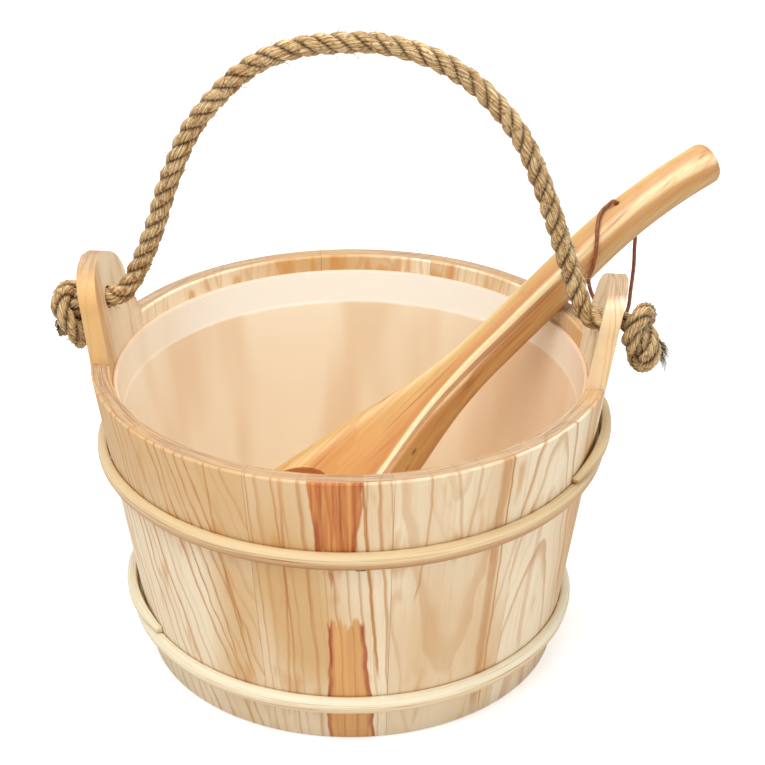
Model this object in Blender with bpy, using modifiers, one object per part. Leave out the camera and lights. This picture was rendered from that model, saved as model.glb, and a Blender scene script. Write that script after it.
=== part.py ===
"""Coopered sauna bucket: twelve tapered staves, a board set in a croze, a moulded liner, two lapped cane
hoops, a rope bail with a stopper knot outside each ear, and a turned ladle with a leather thong.
Metres, +Z up. The origin is the centre of the bottom board's flat underside. +X runs through the right ear."""
import math

import bmesh
import bpy
import numpy as np
from mathutils import Matrix, Vector

# Clearances
GAP = 0.0003
JOINT_GAP = 0.0003

# Bucket
CHIME = 0.008
STAVE_HEIGHT = 0.1683
RIM_RADIUS = 0.1375
FOOT_RADIUS = 0.1122
WALL = 0.0098
RIM_CHAMFER = 0.0011
FOOT_CHAMFER = 0.0010
CROZE_DEPTH = 0.004
BOARD_THICKNESS = 0.010
BOARD_REBATE = 0.003
BOARD_CHAMFER = 0.0008
FOOT_Z = -CHIME
RIM_Z = FOOT_Z + STAVE_HEIGHT
TAPER = (RIM_RADIUS - FOOT_RADIUS) / STAVE_HEIGHT

# Staves, angles in degrees round +Z from +X
EAR_CENTRE = 2.7
EAR_STAVE_ANGLE = 28.8
FRONT_STAVES = 5
BACK_STAVES = 5
ROUND_STEPS = 144

# Ears
EAR_RISE = 0.0472
EAR_TOP_Z = RIM_Z + EAR_RISE
EAR_HALF_TOP = 0.0265
EAR_HALF_BASE = 0.0335
EAR_CORNER = 0.0210
EAR_CROWN = 0.0012
HINGE_Y = 0.0064
HINGE_RISE = 0.0237
HINGE_Z = RIM_Z + HINGE_RISE

# Liner
LINER_DROP = 0.0083
LINER_TOP_Z = RIM_Z - LINER_DROP
LINER_WALL = 0.0018
LINER_COLLAR = 0.0170
LINER_STEP = 0.0022
LINER_SHOULDER = 0.0030
LINER_LIP = 0.0008
LINER_CORNER = 0.0070
LINER_FLOOR_Z = BOARD_THICKNESS + GAP + LINER_WALL

# Hoops
HOOP_HEIGHT = 0.0102
HOOP_BULGE = 0.0058
HOOP_SEAT = 0.0004
UPPER_HOOP_DROP = 0.0468
LOWER_HOOP_RISE = 0.0250
UPPER_HOOP_Z = RIM_Z - UPPER_HOOP_DROP
LOWER_HOOP_Z = FOOT_Z + LOWER_HOOP_RISE
UPPER_TIP_ANGLE = -24.0
LOWER_TIP_ANGLE = 216.5
LAP_ANGLE = 40.0
LAP_RAMP = 20.0
LAP_CLEARANCE = 0.0006
TIP_ANGLE = 14.0
TIP_SCALE = 0.35
STAND_OFF = 0.0016
HOOP_STEP_ANGLE = 4.0

# Rope bail
ROPE_DIAMETER = 0.0113
ROPE_CLEARANCE = 0.0005
ROPE_RISE = 0.1460
ROPE_MOUTH_WIDTH = 0.0012
KNOT_DIAMETER = 0.0090
KNOT_LEFT_DROP = 0.0060
KNOT_LEFT_PLAY = 0.0020
KNOT_RIGHT_DROP = 0.0030
KNOT_RIGHT_PLAY = 0.0012
ROPE_POINTS = 60

# Ladle. Its bowl rests on the liner's floor and its handle leans on the rim
LADLE_YAW = 30.0
LADLE_PASS_ANGLE = 33.04
LADLE_PASS_INSET = 0.0095
LADLE_INSET = 0.10134
LADLE_REST_GAP = 0.00010
LADLE_RIM_OFFSET = -0.00010
HANDLE_LENGTH = 0.2508
HANDLE_STRAIGHT_LENGTH = 0.1540
HANDLE_BEND_RADIUS = 0.3000
HANDLE_RADIUS = 0.0118
HANDLE_DEPTH = 0.0252
HANDLE_DOME = 0.0080
BOWL_CENTRE = 0.0715
BOWL_RADIUS = 0.0500
BOWL_DEPTH = 0.0356
BOWL_EDGE = 0.0050
BOWL_LIP = 0.0045
BOWL_FLOOR = 0.0060
FLARE_LENGTH = 0.1715
THONG_DIAMETER = 0.0022
THONG_HOLE = 0.0034
THONG_DISTANCE = 0.1910
THONG_CLEARANCE = 0.0007

# Staples under the hoops
STAPLE_WIRE = 0.0011
STAPLE_CROWN = 0.0052
STAPLE_LEG = 0.0045
STAPLE_TURN = 8.8


def wall_radius(z):
    """Outer radius of the stave wall at height z."""
    return RIM_RADIUS - (RIM_Z - z) * TAPER


def make_collection(name):
    collection = bpy.data.collections.new(name)
    bpy.context.scene.collection.children.link(collection)
    return collection


def make_material(name, colour, roughness, metallic=0.0):
    material = bpy.data.materials.new(name)
    material.use_nodes = True
    shader = material.node_tree.nodes["Principled BSDF"]
    shader.inputs["Base Color"].default_value = (colour[0], colour[1], colour[2], 1.0)
    shader.inputs["Roughness"].default_value = roughness
    shader.inputs["Metallic"].default_value = metallic
    return material


def mesh_object(name, vertices, edges, faces, collection, material=None):
    mesh = bpy.data.meshes.new(name)
    mesh.from_pydata([tuple(v) for v in vertices], edges, faces)
    mesh.update()
    obj = bpy.data.objects.new(name, mesh)
    collection.objects.link(obj)
    if material is not None:
        mesh.materials.append(material)
    return obj


def face_outwards(obj):
    """Turn every face of a closed body outwards."""
    work = bmesh.new()
    work.from_mesh(obj.data)
    bmesh.ops.recalc_face_normals(work, faces=work.faces)
    if work.calc_volume(signed=True) < 0.0:
        bmesh.ops.reverse_faces(work, faces=work.faces)
    work.to_mesh(obj.data)
    work.free()


def loft(name, rings, collection, material=None):
    """Closed body through rings of the same number of points, with a flat cap at either end."""
    count = len(rings[0])
    vertices = [point for ring in rings for point in ring]
    faces = []
    for row in range(len(rings) - 1):
        for i in range(count):
            j = (i + 1) % count
            faces.append((row * count + i, row * count + j, (row + 1) * count + j, (row + 1) * count + i))
    last = (len(rings) - 1) * count
    faces.append(tuple(range(count)))
    faces.append(tuple(last + i for i in reversed(range(count))))
    obj = mesh_object(name, vertices, [], faces, collection, material)
    face_outwards(obj)
    return obj


def revolve(name, profile, closed, collection, material=None, steps=ROUND_STEPS):
    """Body turned round +Z from a profile of (radius, height) points."""
    vertices = [(r, 0.0, z) for r, z in profile]
    edges = [(i, i + 1) for i in range(len(profile) - 1)]
    if closed:
        edges.append((len(profile) - 1, 0))
    obj = mesh_object(name, vertices, edges, [], collection, material)
    screw = obj.modifiers.new("Turn", "SCREW")
    screw.axis = "Z"
    screw.angle = math.tau
    screw.steps = steps
    screw.render_steps = steps
    screw.use_merge_vertices = True
    screw.merge_threshold = 0.00001
    screw.use_smooth_shade = False
    return obj


def prism(name, outline, depth, place, collection, material=None):
    """Prism of a plane outline, extruded from 0 to depth along the third axis of the matrix place."""
    count = len(outline)
    low = [place @ Vector((x, y, 0.0)) for x, y in outline]
    high = [place @ Vector((x, y, depth)) for x, y in outline]
    faces = [tuple(reversed(range(count))), tuple(range(count, 2 * count))]
    for i in range(count):
        j = (i + 1) % count
        faces.append((i, j, count + j, count + i))
    obj = mesh_object(name, low + high, [], faces, collection, material)
    face_outwards(obj)
    return obj


def rod(name, start, end, radius, collection, material=None, sides=32):
    """Round bar between two points."""
    start = Vector(start)
    end = Vector(end)
    length = (end - start).length
    turn = (end - start).to_track_quat("Z", "Y").to_matrix().to_4x4()
    work = bmesh.new()
    bmesh.ops.create_cone(work, cap_ends=True, cap_tris=False, segments=sides, radius1=radius,
                          radius2=radius, depth=length)
    mesh = bpy.data.meshes.new(name)
    work.to_mesh(mesh)
    work.free()
    mesh.transform(Matrix.Translation((start + end) / 2.0) @ turn)
    obj = bpy.data.objects.new(name, mesh)
    collection.objects.link(obj)
    if material is not None:
        mesh.materials.append(material)
    return obj


def cut(obj, cutter, operation="DIFFERENCE"):
    modifier = obj.modifiers.new(operation.title(), "BOOLEAN")
    modifier.operation = operation
    modifier.solver = "EXACT"
    modifier.object = cutter
    cutter.display_type = "WIRE"
    cutter.hide_render = True


def smooth_path(points, count):
    """Points at even steps along a smooth curve through the given points."""
    points = np.array(points, dtype=float)
    padded = np.vstack([2.0 * points[0] - points[1], points, 2.0 * points[-1] - points[-2]])
    fine = []
    for i in range(1, len(padded) - 2):
        p0, p1, p2, p3 = padded[i - 1], padded[i], padded[i + 1], padded[i + 2]
        for t in np.linspace(0.0, 1.0, 24, endpoint=False):
            fine.append(0.5 * (2.0 * p1 + (p2 - p0) * t + (2.0 * p0 - 5.0 * p1 + 4.0 * p2 - p3) * t ** 2
                               + (3.0 * p1 - p0 - 3.0 * p2 + p3) * t ** 3))
    fine.append(points[-1])
    return even_steps(np.array(fine), count)


def even_steps(path, count):
    run = np.concatenate([[0.0], np.cumsum(np.linalg.norm(np.diff(path, axis=0), axis=1))])
    marks = np.linspace(0.0, run[-1], count)
    return np.stack([np.interp(marks, run, path[:, k]) for k in range(3)], axis=-1)


def path_length(path):
    return float(np.linalg.norm(np.diff(np.array(path), axis=0), axis=1).sum())


def tube(name, path, diameter, collection, material, closed=False, resolution=3):
    """Round tube along a path, made a mesh."""
    curve = bpy.data.curves.new(name + "_line", "CURVE")
    curve.dimensions = "3D"
    spline = curve.splines.new("POLY")
    spline.points.add(len(path) - 1)
    for point, place in zip(spline.points, path):
        point.co = (float(place[0]), float(place[1]), float(place[2]), 1.0)
    spline.use_cyclic_u = closed
    curve.bevel_depth = diameter / 2.0
    curve.bevel_resolution = resolution
    curve.use_fill_caps = not closed
    line = bpy.data.objects.new(name + "_line", curve)
    collection.objects.link(line)
    bpy.context.view_layer.update()
    shaped = line.evaluated_get(bpy.context.evaluated_depsgraph_get())
    mesh = bpy.data.meshes.new_from_object(shaped)
    mesh.name = name
    bpy.data.objects.remove(line)
    work = bmesh.new()
    work.from_mesh(mesh)
    bmesh.ops.remove_doubles(work, verts=work.verts, dist=0.00001)
    work.to_mesh(mesh)
    work.free()
    mesh.materials.clear()
    mesh.materials.append(material)
    obj = bpy.data.objects.new(name, mesh)
    collection.objects.link(obj)
    face_outwards(obj)
    return obj


def stave_profile(top_z, chamfer):
    """Closed section of the stave wall, down the outer side and up the inner side with the croze."""
    def inner(z):
        return wall_radius(z) - WALL
    groove = inner(BOARD_THICKNESS / 2.0) + CROZE_DEPTH
    low = BOARD_REBATE - GAP
    high = BOARD_THICKNESS + GAP
    return [
        (wall_radius(top_z) - chamfer, top_z),
        (wall_radius(top_z - chamfer), top_z - chamfer),
        (wall_radius(FOOT_Z + FOOT_CHAMFER), FOOT_Z + FOOT_CHAMFER),
        (wall_radius(FOOT_Z) - FOOT_CHAMFER, FOOT_Z),
        (inner(FOOT_Z) + FOOT_CHAMFER, FOOT_Z),
        (inner(FOOT_Z + FOOT_CHAMFER), FOOT_Z + FOOT_CHAMFER),
        (inner(low), low),
        (groove, low),
        (groove, high),
        (inner(high), high),
        (inner(top_z - chamfer), top_z - chamfer),
        (inner(top_z) + chamfer, top_z),
    ]


def wedge(name, start, end, collection):
    """Cutter for one stave, with each radial joint face set back by half the joint gap."""
    outline = []
    for angle, side in ((start, 1.0), (end, -1.0)):
        a = math.radians(angle)
        shift = Vector((-math.sin(a), math.cos(a))) * side * JOINT_GAP / 2.0
        near = Vector((math.cos(a), math.sin(a))) * 0.05 + shift
        far = Vector((math.cos(a), math.sin(a))) * 0.22 + shift
        outline += [near, far] if side > 0.0 else [far, near]
    place = Matrix.Translation((0.0, 0.0, FOOT_Z - 0.01))
    return prism(name, [tuple(p) for p in outline], EAR_TOP_Z - FOOT_Z + 0.03, place, collection)


def ear_outline():
    """Outline of an ear seen along the hinge line: (y from the hinge line, z)."""
    points = [(-0.07, FOOT_Z - 0.02), (0.07, FOOT_Z - 0.02), (0.07, RIM_Z), (EAR_HALF_BASE, RIM_Z)]
    corner_z = EAR_TOP_Z - EAR_CORNER - EAR_CROWN
    for i in range(9):
        a = math.radians(90.0 * i / 8.0)
        points.append((EAR_HALF_TOP - EAR_CORNER * (1.0 - math.cos(a)), corner_z + EAR_CORNER * math.sin(a)))
    points.append((0.0, EAR_TOP_Z))
    points += [(-y, z) for y, z in reversed(points[3:-1])]
    points.append((-0.07, RIM_Z))
    return points


def build_staves(collection, cutters, material):
    right_start = EAR_CENTRE - EAR_STAVE_ANGLE / 2.0
    right_end = EAR_CENTRE + EAR_STAVE_ANGLE / 2.0
    left_start = 180.0 - right_end
    left_end = 180.0 - right_start
    front_angle = (360.0 + right_start - left_end) / FRONT_STAVES
    back_angle = (left_start - right_end) / BACK_STAVES
    plain = [("stave_front_%d" % (i + 1), left_end + i * front_angle, front_angle) for i in range(FRONT_STAVES)]
    plain += [("stave_back_%d" % (i + 1), right_end + i * back_angle, back_angle) for i in range(BACK_STAVES)]
    staves = {}
    for name, start, span in plain:
        stave = revolve(name, stave_profile(RIM_Z, RIM_CHAMFER), True, collection, material)
        cut(stave, wedge(name + "_wedge", start, start + span, cutters), "INTERSECT")
        staves[name] = stave
    for name, start, sign in (("ear_stave_right", right_start, 1.0), ("ear_stave_left", left_start, -1.0)):
        stave = revolve(name, stave_profile(EAR_TOP_Z + 0.004, RIM_CHAMFER), True, collection, material)
        cut(stave, wedge(name + "_wedge", start, start + EAR_STAVE_ANGLE, cutters), "INTERSECT")
        place = Matrix(((0.0, 0.0, sign, 0.0), (1.0, 0.0, 0.0, HINGE_Y), (0.0, 1.0, 0.0, 0.0), (0.0, 0.0, 0.0, 1.0)))
        cut(stave, prism(name + "_outline", ear_outline(), 0.25, place, cutters), "INTERSECT")
        hole = rod(name + "_hole", (sign * 0.10, HINGE_Y, HINGE_Z), (sign * 0.17, HINGE_Y, HINGE_Z),
                   ROPE_DIAMETER / 2.0 + ROPE_CLEARANCE, cutters, sides=40)
        cut(stave, hole)
        staves[name] = stave
    return staves


def build_board(collection, material):
    """Round bottom whose edge is rebated underneath to a tongue that sits in the croze."""
    radius = wall_radius(BOARD_THICKNESS / 2.0) - WALL + CROZE_DEPTH - GAP
    face = wall_radius(FOOT_Z) - WALL - 2.0 * GAP
    chamfer = BOARD_CHAMFER
    profile = [(0.0, BOARD_THICKNESS), (radius - chamfer, BOARD_THICKNESS), (radius, BOARD_THICKNESS - chamfer),
               (radius, BOARD_REBATE + chamfer), (radius - chamfer, BOARD_REBATE), (face, BOARD_REBATE),
               (face, 0.0), (0.0, 0.0)]
    return revolve("bottom_board", profile, False, collection, material, steps=96)


def build_liner(collection, material):
    """Moulded tub: a collar that touches the staves, a shoulder under it and a rounded foot."""
    def outer(z, step=0.0):
        return wall_radius(z) - WALL - GAP - step
    shoulder_z = LINER_TOP_Z - LINER_COLLAR
    low_z = shoulder_z - LINER_SHOULDER
    low = BOARD_THICKNESS + GAP
    lip = LINER_LIP
    outside = [(0.0, low)]
    corner_out = outer(low + LINER_CORNER, LINER_STEP)
    for i in range(6):
        a = math.radians(90.0 * i / 5.0)
        outside.append((corner_out - LINER_CORNER * (1.0 - math.sin(a)), low + LINER_CORNER * (1.0 - math.cos(a))))
    outside += [(outer(low_z, LINER_STEP), low_z), (outer(shoulder_z), shoulder_z),
                (outer(LINER_TOP_Z - lip), LINER_TOP_Z - lip), (outer(LINER_TOP_Z) - lip, LINER_TOP_Z)]
    rise = LINER_WALL / 3.0
    inside = [(outer(LINER_TOP_Z) - LINER_WALL, LINER_TOP_Z), (outer(shoulder_z) - LINER_WALL, shoulder_z + rise),
              (outer(low_z, LINER_STEP) - LINER_WALL, low_z + rise)]
    bend = LINER_CORNER - LINER_WALL
    corner_in = corner_out - LINER_WALL
    for i in range(6):
        a = math.radians(90.0 * (5 - i) / 5.0)
        inside.append((corner_in - bend * (1.0 - math.sin(a)), LINER_FLOOR_Z + bend * (1.0 - math.cos(a))))
    inside.append((0.0, LINER_FLOOR_Z))
    profile = list(reversed(outside + inside))
    return revolve("liner", profile, False, collection, material, steps=72)


def strip_section(angle, z, scale, stand):
    """Half-round section of a hoop strip at one angle, its flat back along the stave wall."""
    half = HOOP_HEIGHT / 2.0 * scale
    bulge = HOOP_BULGE * (0.45 + 0.55 * scale)
    a = math.radians(angle)
    ring = []
    for along, out in ((-1.0, 0.0), (-1.0, 0.30), (-0.72, 0.72), (-0.28, 0.97), (0.28, 0.97), (0.72, 0.72),
                       (1.0, 0.30), (1.0, 0.0)):
        height = z + along * half
        radius = wall_radius(height) + HOOP_SEAT + stand + out * bulge
        ring.append((radius * math.cos(a), radius * math.sin(a), height))
    return ring


def ease(t):
    t = min(1.0, max(0.0, t))
    return t * t * (3.0 - 2.0 * t)


def build_hoop(name, centre_z, tip, turn, collection, material):
    """One cane strip round the staves. Its first end is pointed and lies on top of its last end."""
    total = 360.0 + LAP_ANGLE
    steps = int(round(total / HOOP_STEP_ANGLE))
    rings = []
    for i in range(steps + 1):
        run = total * i / steps
        first = TIP_SCALE + (1.0 - TIP_SCALE) * ease(run / TIP_ANGLE)
        last = TIP_SCALE + (1.0 - TIP_SCALE) * ease((total - run) / TIP_ANGLE)
        scale = min(first, last)
        on_top = 1.0 - ease((run - LAP_ANGLE - 2.0) / LAP_RAMP)
        rise = (HOOP_HEIGHT / 2.0 * (1.0 + first) + LAP_CLEARANCE) * on_top
        drop = (1.0 - last) * HOOP_HEIGHT / 2.0
        stand = STAND_OFF * ease(run / 12.0) * (1.0 - ease((run - LAP_ANGLE + 8.0) / 10.0))
        rings.append(strip_section(tip + turn * run, centre_z + rise - drop, scale, stand))
    return loft(name, rings, collection, material)


def build_staple(name, centre_z, collection, material, cutters, stave):
    """Wire staple driven into the front stave just under a hoop's lower edge, with its two leg holes."""
    turn = Matrix.Rotation(math.radians(STAPLE_TURN), 3, "Z")
    z = centre_z - HOOP_HEIGHT / 2.0 - STAPLE_WIRE / 2.0 - 2.0 * GAP
    face = -wall_radius(z)
    crown_y = face - STAPLE_WIRE / 2.0 - GAP
    tip_y = face + STAPLE_LEG
    half = STAPLE_CROWN / 2.0
    path = [(-half, tip_y, z), (-half, crown_y + 0.0008, z), (-half + 0.0003, crown_y + 0.0003, z),
            (-half + 0.0008, crown_y, z), (half - 0.0008, crown_y, z), (half - 0.0003, crown_y + 0.0003, z),
            (half, crown_y + 0.0008, z), (half, tip_y, z)]
    staple = tube(name, [turn @ Vector(place) for place in path], STAPLE_WIRE, collection, material, resolution=1)
    for side in (-1.0, 1.0):
        hole = rod("%s_hole_%d" % (name, int(side)), turn @ Vector((side * half, crown_y - 0.004, z)),
                   turn @ Vector((side * half, tip_y + GAP, z)), STAPLE_WIRE / 2.0 + GAP, cutters, sides=12)
        cut(stave, hole)
    return staple


def tight_overhand():
    """Centreline of an overhand knot drawn tight, in rope diameters, its two leads along -Y and +Y.
    It starts as an open three-lobed loop and is shortened step by step while the rope keeps clear of itself."""
    big, small, reach, count = 1.35, 0.72, 2.6, 56
    turn = np.linspace(0.30, 2.0 * np.pi - 0.30, 300)
    loop = np.stack([(big + small * np.cos(3.0 * turn)) * np.cos(2.0 * turn),
                     (big + small * np.cos(3.0 * turn)) * np.sin(2.0 * turn),
                     small * np.sin(3.0 * turn)], axis=-1)
    first, last = loop[0], loop[-1]
    part = np.linspace(0.0, 1.0, 30)[:, None]
    lead = np.array([first[0], -reach, first[2]]) * (1.0 - part) + first * part
    tail = last * (1.0 - part) + np.array([first[0], reach, last[2]]) * part
    path = even_steps(np.concatenate([lead[:-1], loop, tail[1:]]), count)
    link = float(np.linalg.norm(np.diff(path, axis=0), axis=1).mean())
    clear, bend = 1.08, 0.58
    ends = path[[0, -1]].copy()
    for _ in range(900):
        if np.linalg.norm(np.diff(path, axis=0), axis=1).max() < 1.05 * link:
            link *= 0.997
        first_rows, second_rows = np.triu_indices(count, int(np.ceil(1.5 / link)))
        chord = 2.0 * bend * np.sin(link / bend)
        middle = path[count // 4:3 * count // 4].mean(axis=0)
        ends[:, [0, 2]] += 0.03 * (middle[[0, 2]] - ends[:, [0, 2]])
        for _ in range(8):
            path[[0, -1]] = ends
            for offset in (0, 1):
                rows = np.arange(offset, count - 1, 2)
                step = path[rows + 1] - path[rows]
                size = np.linalg.norm(step, axis=1)[:, None]
                move = 0.5 * (size - link) / size * step
                path[rows] += move
                path[rows + 1] -= move
            for offset in range(4):
                rows = np.arange(offset, count - 2, 4)
                step = path[rows + 2] - path[rows]
                size = np.linalg.norm(step, axis=1)[:, None]
                move = np.where(size < chord, 0.2 * (size - chord) / size, 0.0) * step
                path[rows] += move
                path[rows + 2] -= move
            step = path[second_rows] - path[first_rows]
            size = np.linalg.norm(step, axis=1)
            near = size < clear
            if near.any():
                push = (0.5 * (size[near] - clear) / size[near])[:, None] * step[near]
                total = np.zeros_like(path)
                hits = np.zeros(count)
                np.add.at(total, first_rows[near], push)
                np.add.at(total, second_rows[near], -push)
                np.add.at(hits, first_rows[near], 1.0)
                np.add.at(hits, second_rows[near], 1.0)
                path += total / np.maximum(hits, 1.0)[:, None] * 1.3
        path[[0, -1]] = ends
    path[:, [0, 2]] -= ends[0, [0, 2]]
    return path


def least_self_gap(path, diameter):
    """Least clear distance of a tube to itself, between points more than 1.5 diameters apart along it."""
    path = np.array(path)
    run = np.concatenate([[0.0], np.cumsum(np.linalg.norm(np.diff(path, axis=0), axis=1))])
    apart = np.abs(run[:, None] - run[None, :]) > 1.5 * diameter
    distance = np.linalg.norm(path[:, None, :] - path[None, :, :], axis=-1)
    return float(distance[apart].min() - diameter)


def knot_path(core, side, pitch, drop, tail, play):
    """The knot outside one ear: side is +1 right or -1 left. It starts in the mouth of the rope hole,
    passes through the knot and ends in a short tail."""
    axis_from = np.array(core)
    first = int(np.argmax(axis_from[:, 1] > -0.95))
    last = len(axis_from) - 1 - int(np.argmax(axis_from[::-1, 1] < 1.02 + tail))
    body = axis_from[first:last + 1] * KNOT_DIAMETER
    # The knot's own axes: y runs outwards, z up, x along the wall
    out = np.stack([body[:, 1], body[:, 0], body[:, 2]], axis=-1)
    lean = math.radians(pitch)
    tipped = out.copy()
    tipped[:, 0] = out[:, 0] * math.cos(lean) + out[:, 2] * math.sin(lean)
    tipped[:, 2] = -out[:, 0] * math.sin(lean) + out[:, 2] * math.cos(lean)
    entry = tipped[0].copy()
    face = wall_radius(HINGE_Z)
    stand = KNOT_DIAMETER * 0.5 + GAP
    low = tipped[:, 0] + (tipped[:, 2] - entry[2] - drop) * -TAPER
    shift_out = stand + play - low.min()
    placed = tipped.copy()
    placed[:, 0] += shift_out
    placed[:, 1] -= entry[1]
    placed[:, 2] -= entry[2] + drop
    start = np.array([3.0 * GAP, 0.0, 0.0])
    mouth = np.array([3.0 * GAP + ROPE_MOUTH_WIDTH, 0.0, 0.0])
    hand = [start, mouth] + [p for p in placed[1:]]
    path = smooth_path(hand, 68)
    world = np.stack([side * (face + path[:, 0]), HINGE_Y + side * path[:, 1], HINGE_Z + path[:, 2]], axis=-1)
    return world


def arch_points():
    """Hand-chosen points of the bail's centreline in the upright plane: (share of the half span between the
    ears, share of the arch's height)."""
    left = [(-0.918, 0.041), (-0.876, 0.106), (-0.834, 0.188), (-0.784, 0.305), (-0.730, 0.455),
            (-0.631, 0.658), (-0.499, 0.812), (-0.366, 0.914), (-0.206, 0.976)]
    right = [(-0.023, 1.000), (0.129, 0.999), (0.305, 0.959), (0.461, 0.880), (0.586, 0.771),
             (0.674, 0.658), (0.739, 0.527), (0.796, 0.388), (0.838, 0.274), (0.883, 0.154),
             (0.923, 0.048)]
    return left + right


def build_bail(collection, material):
    """The rope from outer mouth to outer mouth of the two ear holes."""
    face = wall_radius(HINGE_Z)
    inner = face - WALL
    ends = [(face, 0.0), (inner + 0.35 * ROPE_DIAMETER, 0.0), (inner - 0.13 * ROPE_DIAMETER, 0.0),
            (inner - 0.55 * ROPE_DIAMETER, 0.14 * ROPE_DIAMETER)]
    points = [(-x, height) for x, height in ends]
    points += [(x * inner, height * ROPE_RISE) for x, height in arch_points()]
    points += list(reversed(ends))
    hand = [(x, HINGE_Y, HINGE_Z + height) for x, height in points]
    path = smooth_path(hand, ROPE_POINTS)
    rope = tube("rope_handle", path, ROPE_DIAMETER, collection, material)
    print("rope arch length %.1f mm" % (path_length(path) * 1000.0))
    return rope, path


def build_knots(collection, material):
    core = tight_overhand()
    knots = []
    for name, side, pitch, drop, tail, play in (
            ("knot_left", -1.0, 30.0, KNOT_LEFT_DROP, 0.35, KNOT_LEFT_PLAY),
            ("knot_right", 1.0, 18.0, KNOT_RIGHT_DROP, 0.30, KNOT_RIGHT_PLAY)):
        path = knot_path(core, side, pitch, drop, tail, play)
        gap = least_self_gap(path, KNOT_DIAMETER)
        print("%s least gap to itself %.2f mm, length %.1f mm" % (name, gap * 1000.0, path_length(path) * 1000.0))
        knots.append(tube(name, path, KNOT_DIAMETER, collection, material, resolution=2))
    return knots


def ladle_frame():
    """Origin on the rim where the handle passes, and unit directions along and across the ladle's plane."""
    yaw = math.radians(LADLE_YAW)
    along = Vector((math.cos(yaw), math.sin(yaw), 0.0))
    across = Vector((-math.sin(yaw), math.cos(yaw), 0.0))
    spot = math.radians(LADLE_PASS_ANGLE)
    reach = RIM_RADIUS - LADLE_PASS_INSET
    origin = Vector((reach * math.cos(spot), reach * math.sin(spot), 0.0))
    return origin, along, across


def ladle_lean():
    """Slope at which the bowl touches the liner's floor and the handle the rim, and the face point (run,
    height) where the bowl's centre lies."""
    run = 2.0 * RIM_RADIUS - LADLE_INSET
    slope = math.radians(40.0)
    for _ in range(30):
        reach = math.hypot(BOWL_RADIUS * math.sin(slope), BOWL_DEPTH * math.cos(slope))
        bowl_z = LINER_FLOOR_Z + LADLE_REST_GAP + reach
        rim_z = RIM_Z + HANDLE_DEPTH / math.cos(slope) + LADLE_RIM_OFFSET
        slope = math.atan2(rim_z - bowl_z, run)
    return slope, Vector((-run, bowl_z))


def ladle_spine(a):
    """Point (run, height) and direction of the ladle's spine at a, measured down the slope."""
    slope, centre = ladle_lean()
    down = Vector((-math.cos(slope), -math.sin(slope)))
    below = Vector((math.sin(slope), -math.cos(slope)))
    base = centre - down * BOWL_CENTRE + below * HANDLE_RADIUS
    bend_at = -HANDLE_STRAIGHT_LENGTH
    if a >= bend_at:
        return base + down * a, -down
    # The handle's end arches over towards level
    radius = HANDLE_BEND_RADIUS
    turn = (bend_at - a) / radius
    start = base + down * bend_at
    centre = start + below * radius
    angle = slope + math.pi / 2.0 - turn
    point = centre + Vector((math.cos(angle), math.sin(angle))) * radius
    return point, Vector((math.sin(angle), -math.cos(angle)))


def table(a, rows, column):
    marks = [row[0] for row in rows]
    values = [row[column] for row in rows]
    slopes = []
    for i in range(len(rows)):
        low = max(i - 1, 0)
        high = min(i + 1, len(rows) - 1)
        slopes.append((values[high] - values[low]) / (marks[high] - marks[low]))
    if a <= marks[0]:
        return values[0]
    if a >= marks[-1]:
        return values[-1]
    i = max(k for k in range(len(rows) - 1) if marks[k] <= a)
    span = marks[i + 1] - marks[i]
    t = (a - marks[i]) / span
    return ((2 * t ** 3 - 3 * t ** 2 + 1) * values[i] + (t ** 3 - 2 * t ** 2 + t) * span * slopes[i]
            + (-2 * t ** 3 + 3 * t ** 2) * values[i + 1] + (t ** 3 - t ** 2) * span * slopes[i + 1])


# Up the slope from the bowl's centre as a share of the flare, then shares of the change from handle to bowl:
# half width, depth and height of the edge. The last column is the top's squareness
FLARE_ROWS = (
    (1.000, 0.000, 0.000, 0.000, 2.0),
    (0.860, 0.016, 0.000, 0.105, 2.1),
    (0.738, 0.089, 0.115, 0.342, 2.5),
    (0.633, 0.194, 0.365, 0.605, 3.0),
    (0.504, 0.377, 0.702, 0.842, 3.8),
    (0.417, 0.508, 0.875, 0.934, 4.2),
    (0.283, 0.691, 0.990, 0.974, 4.6),
    (0.155, 0.877, 1.048, 1.000, 4.8),
    (0.000, 1.000, 1.000, 1.000, 5.0),
)


def ladle_rows():
    """Rows of the ladle's form: place down the slope, half width, depth, edge height and squareness."""
    rows = []
    for end in (-1.2 * HANDLE_LENGTH, -0.8 * HANDLE_LENGTH):
        rows.append((end, HANDLE_RADIUS, 2.0 * HANDLE_RADIUS, HANDLE_RADIUS, 2.0))
    rows.append((-0.6 * HANDLE_LENGTH, HANDLE_RADIUS, HANDLE_DEPTH, HANDLE_DEPTH / 2.0, 2.0))
    for share, width, depth, edge, power in FLARE_ROWS:
        rows.append((BOWL_CENTRE - share * FLARE_LENGTH,
                     HANDLE_RADIUS + (BOWL_RADIUS - HANDLE_RADIUS) * width,
                     HANDLE_DEPTH + (BOWL_DEPTH - HANDLE_DEPTH) * depth,
                     HANDLE_DEPTH / 2.0 + (BOWL_EDGE - HANDLE_DEPTH / 2.0) * edge,
                     power))
    return rows


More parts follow.
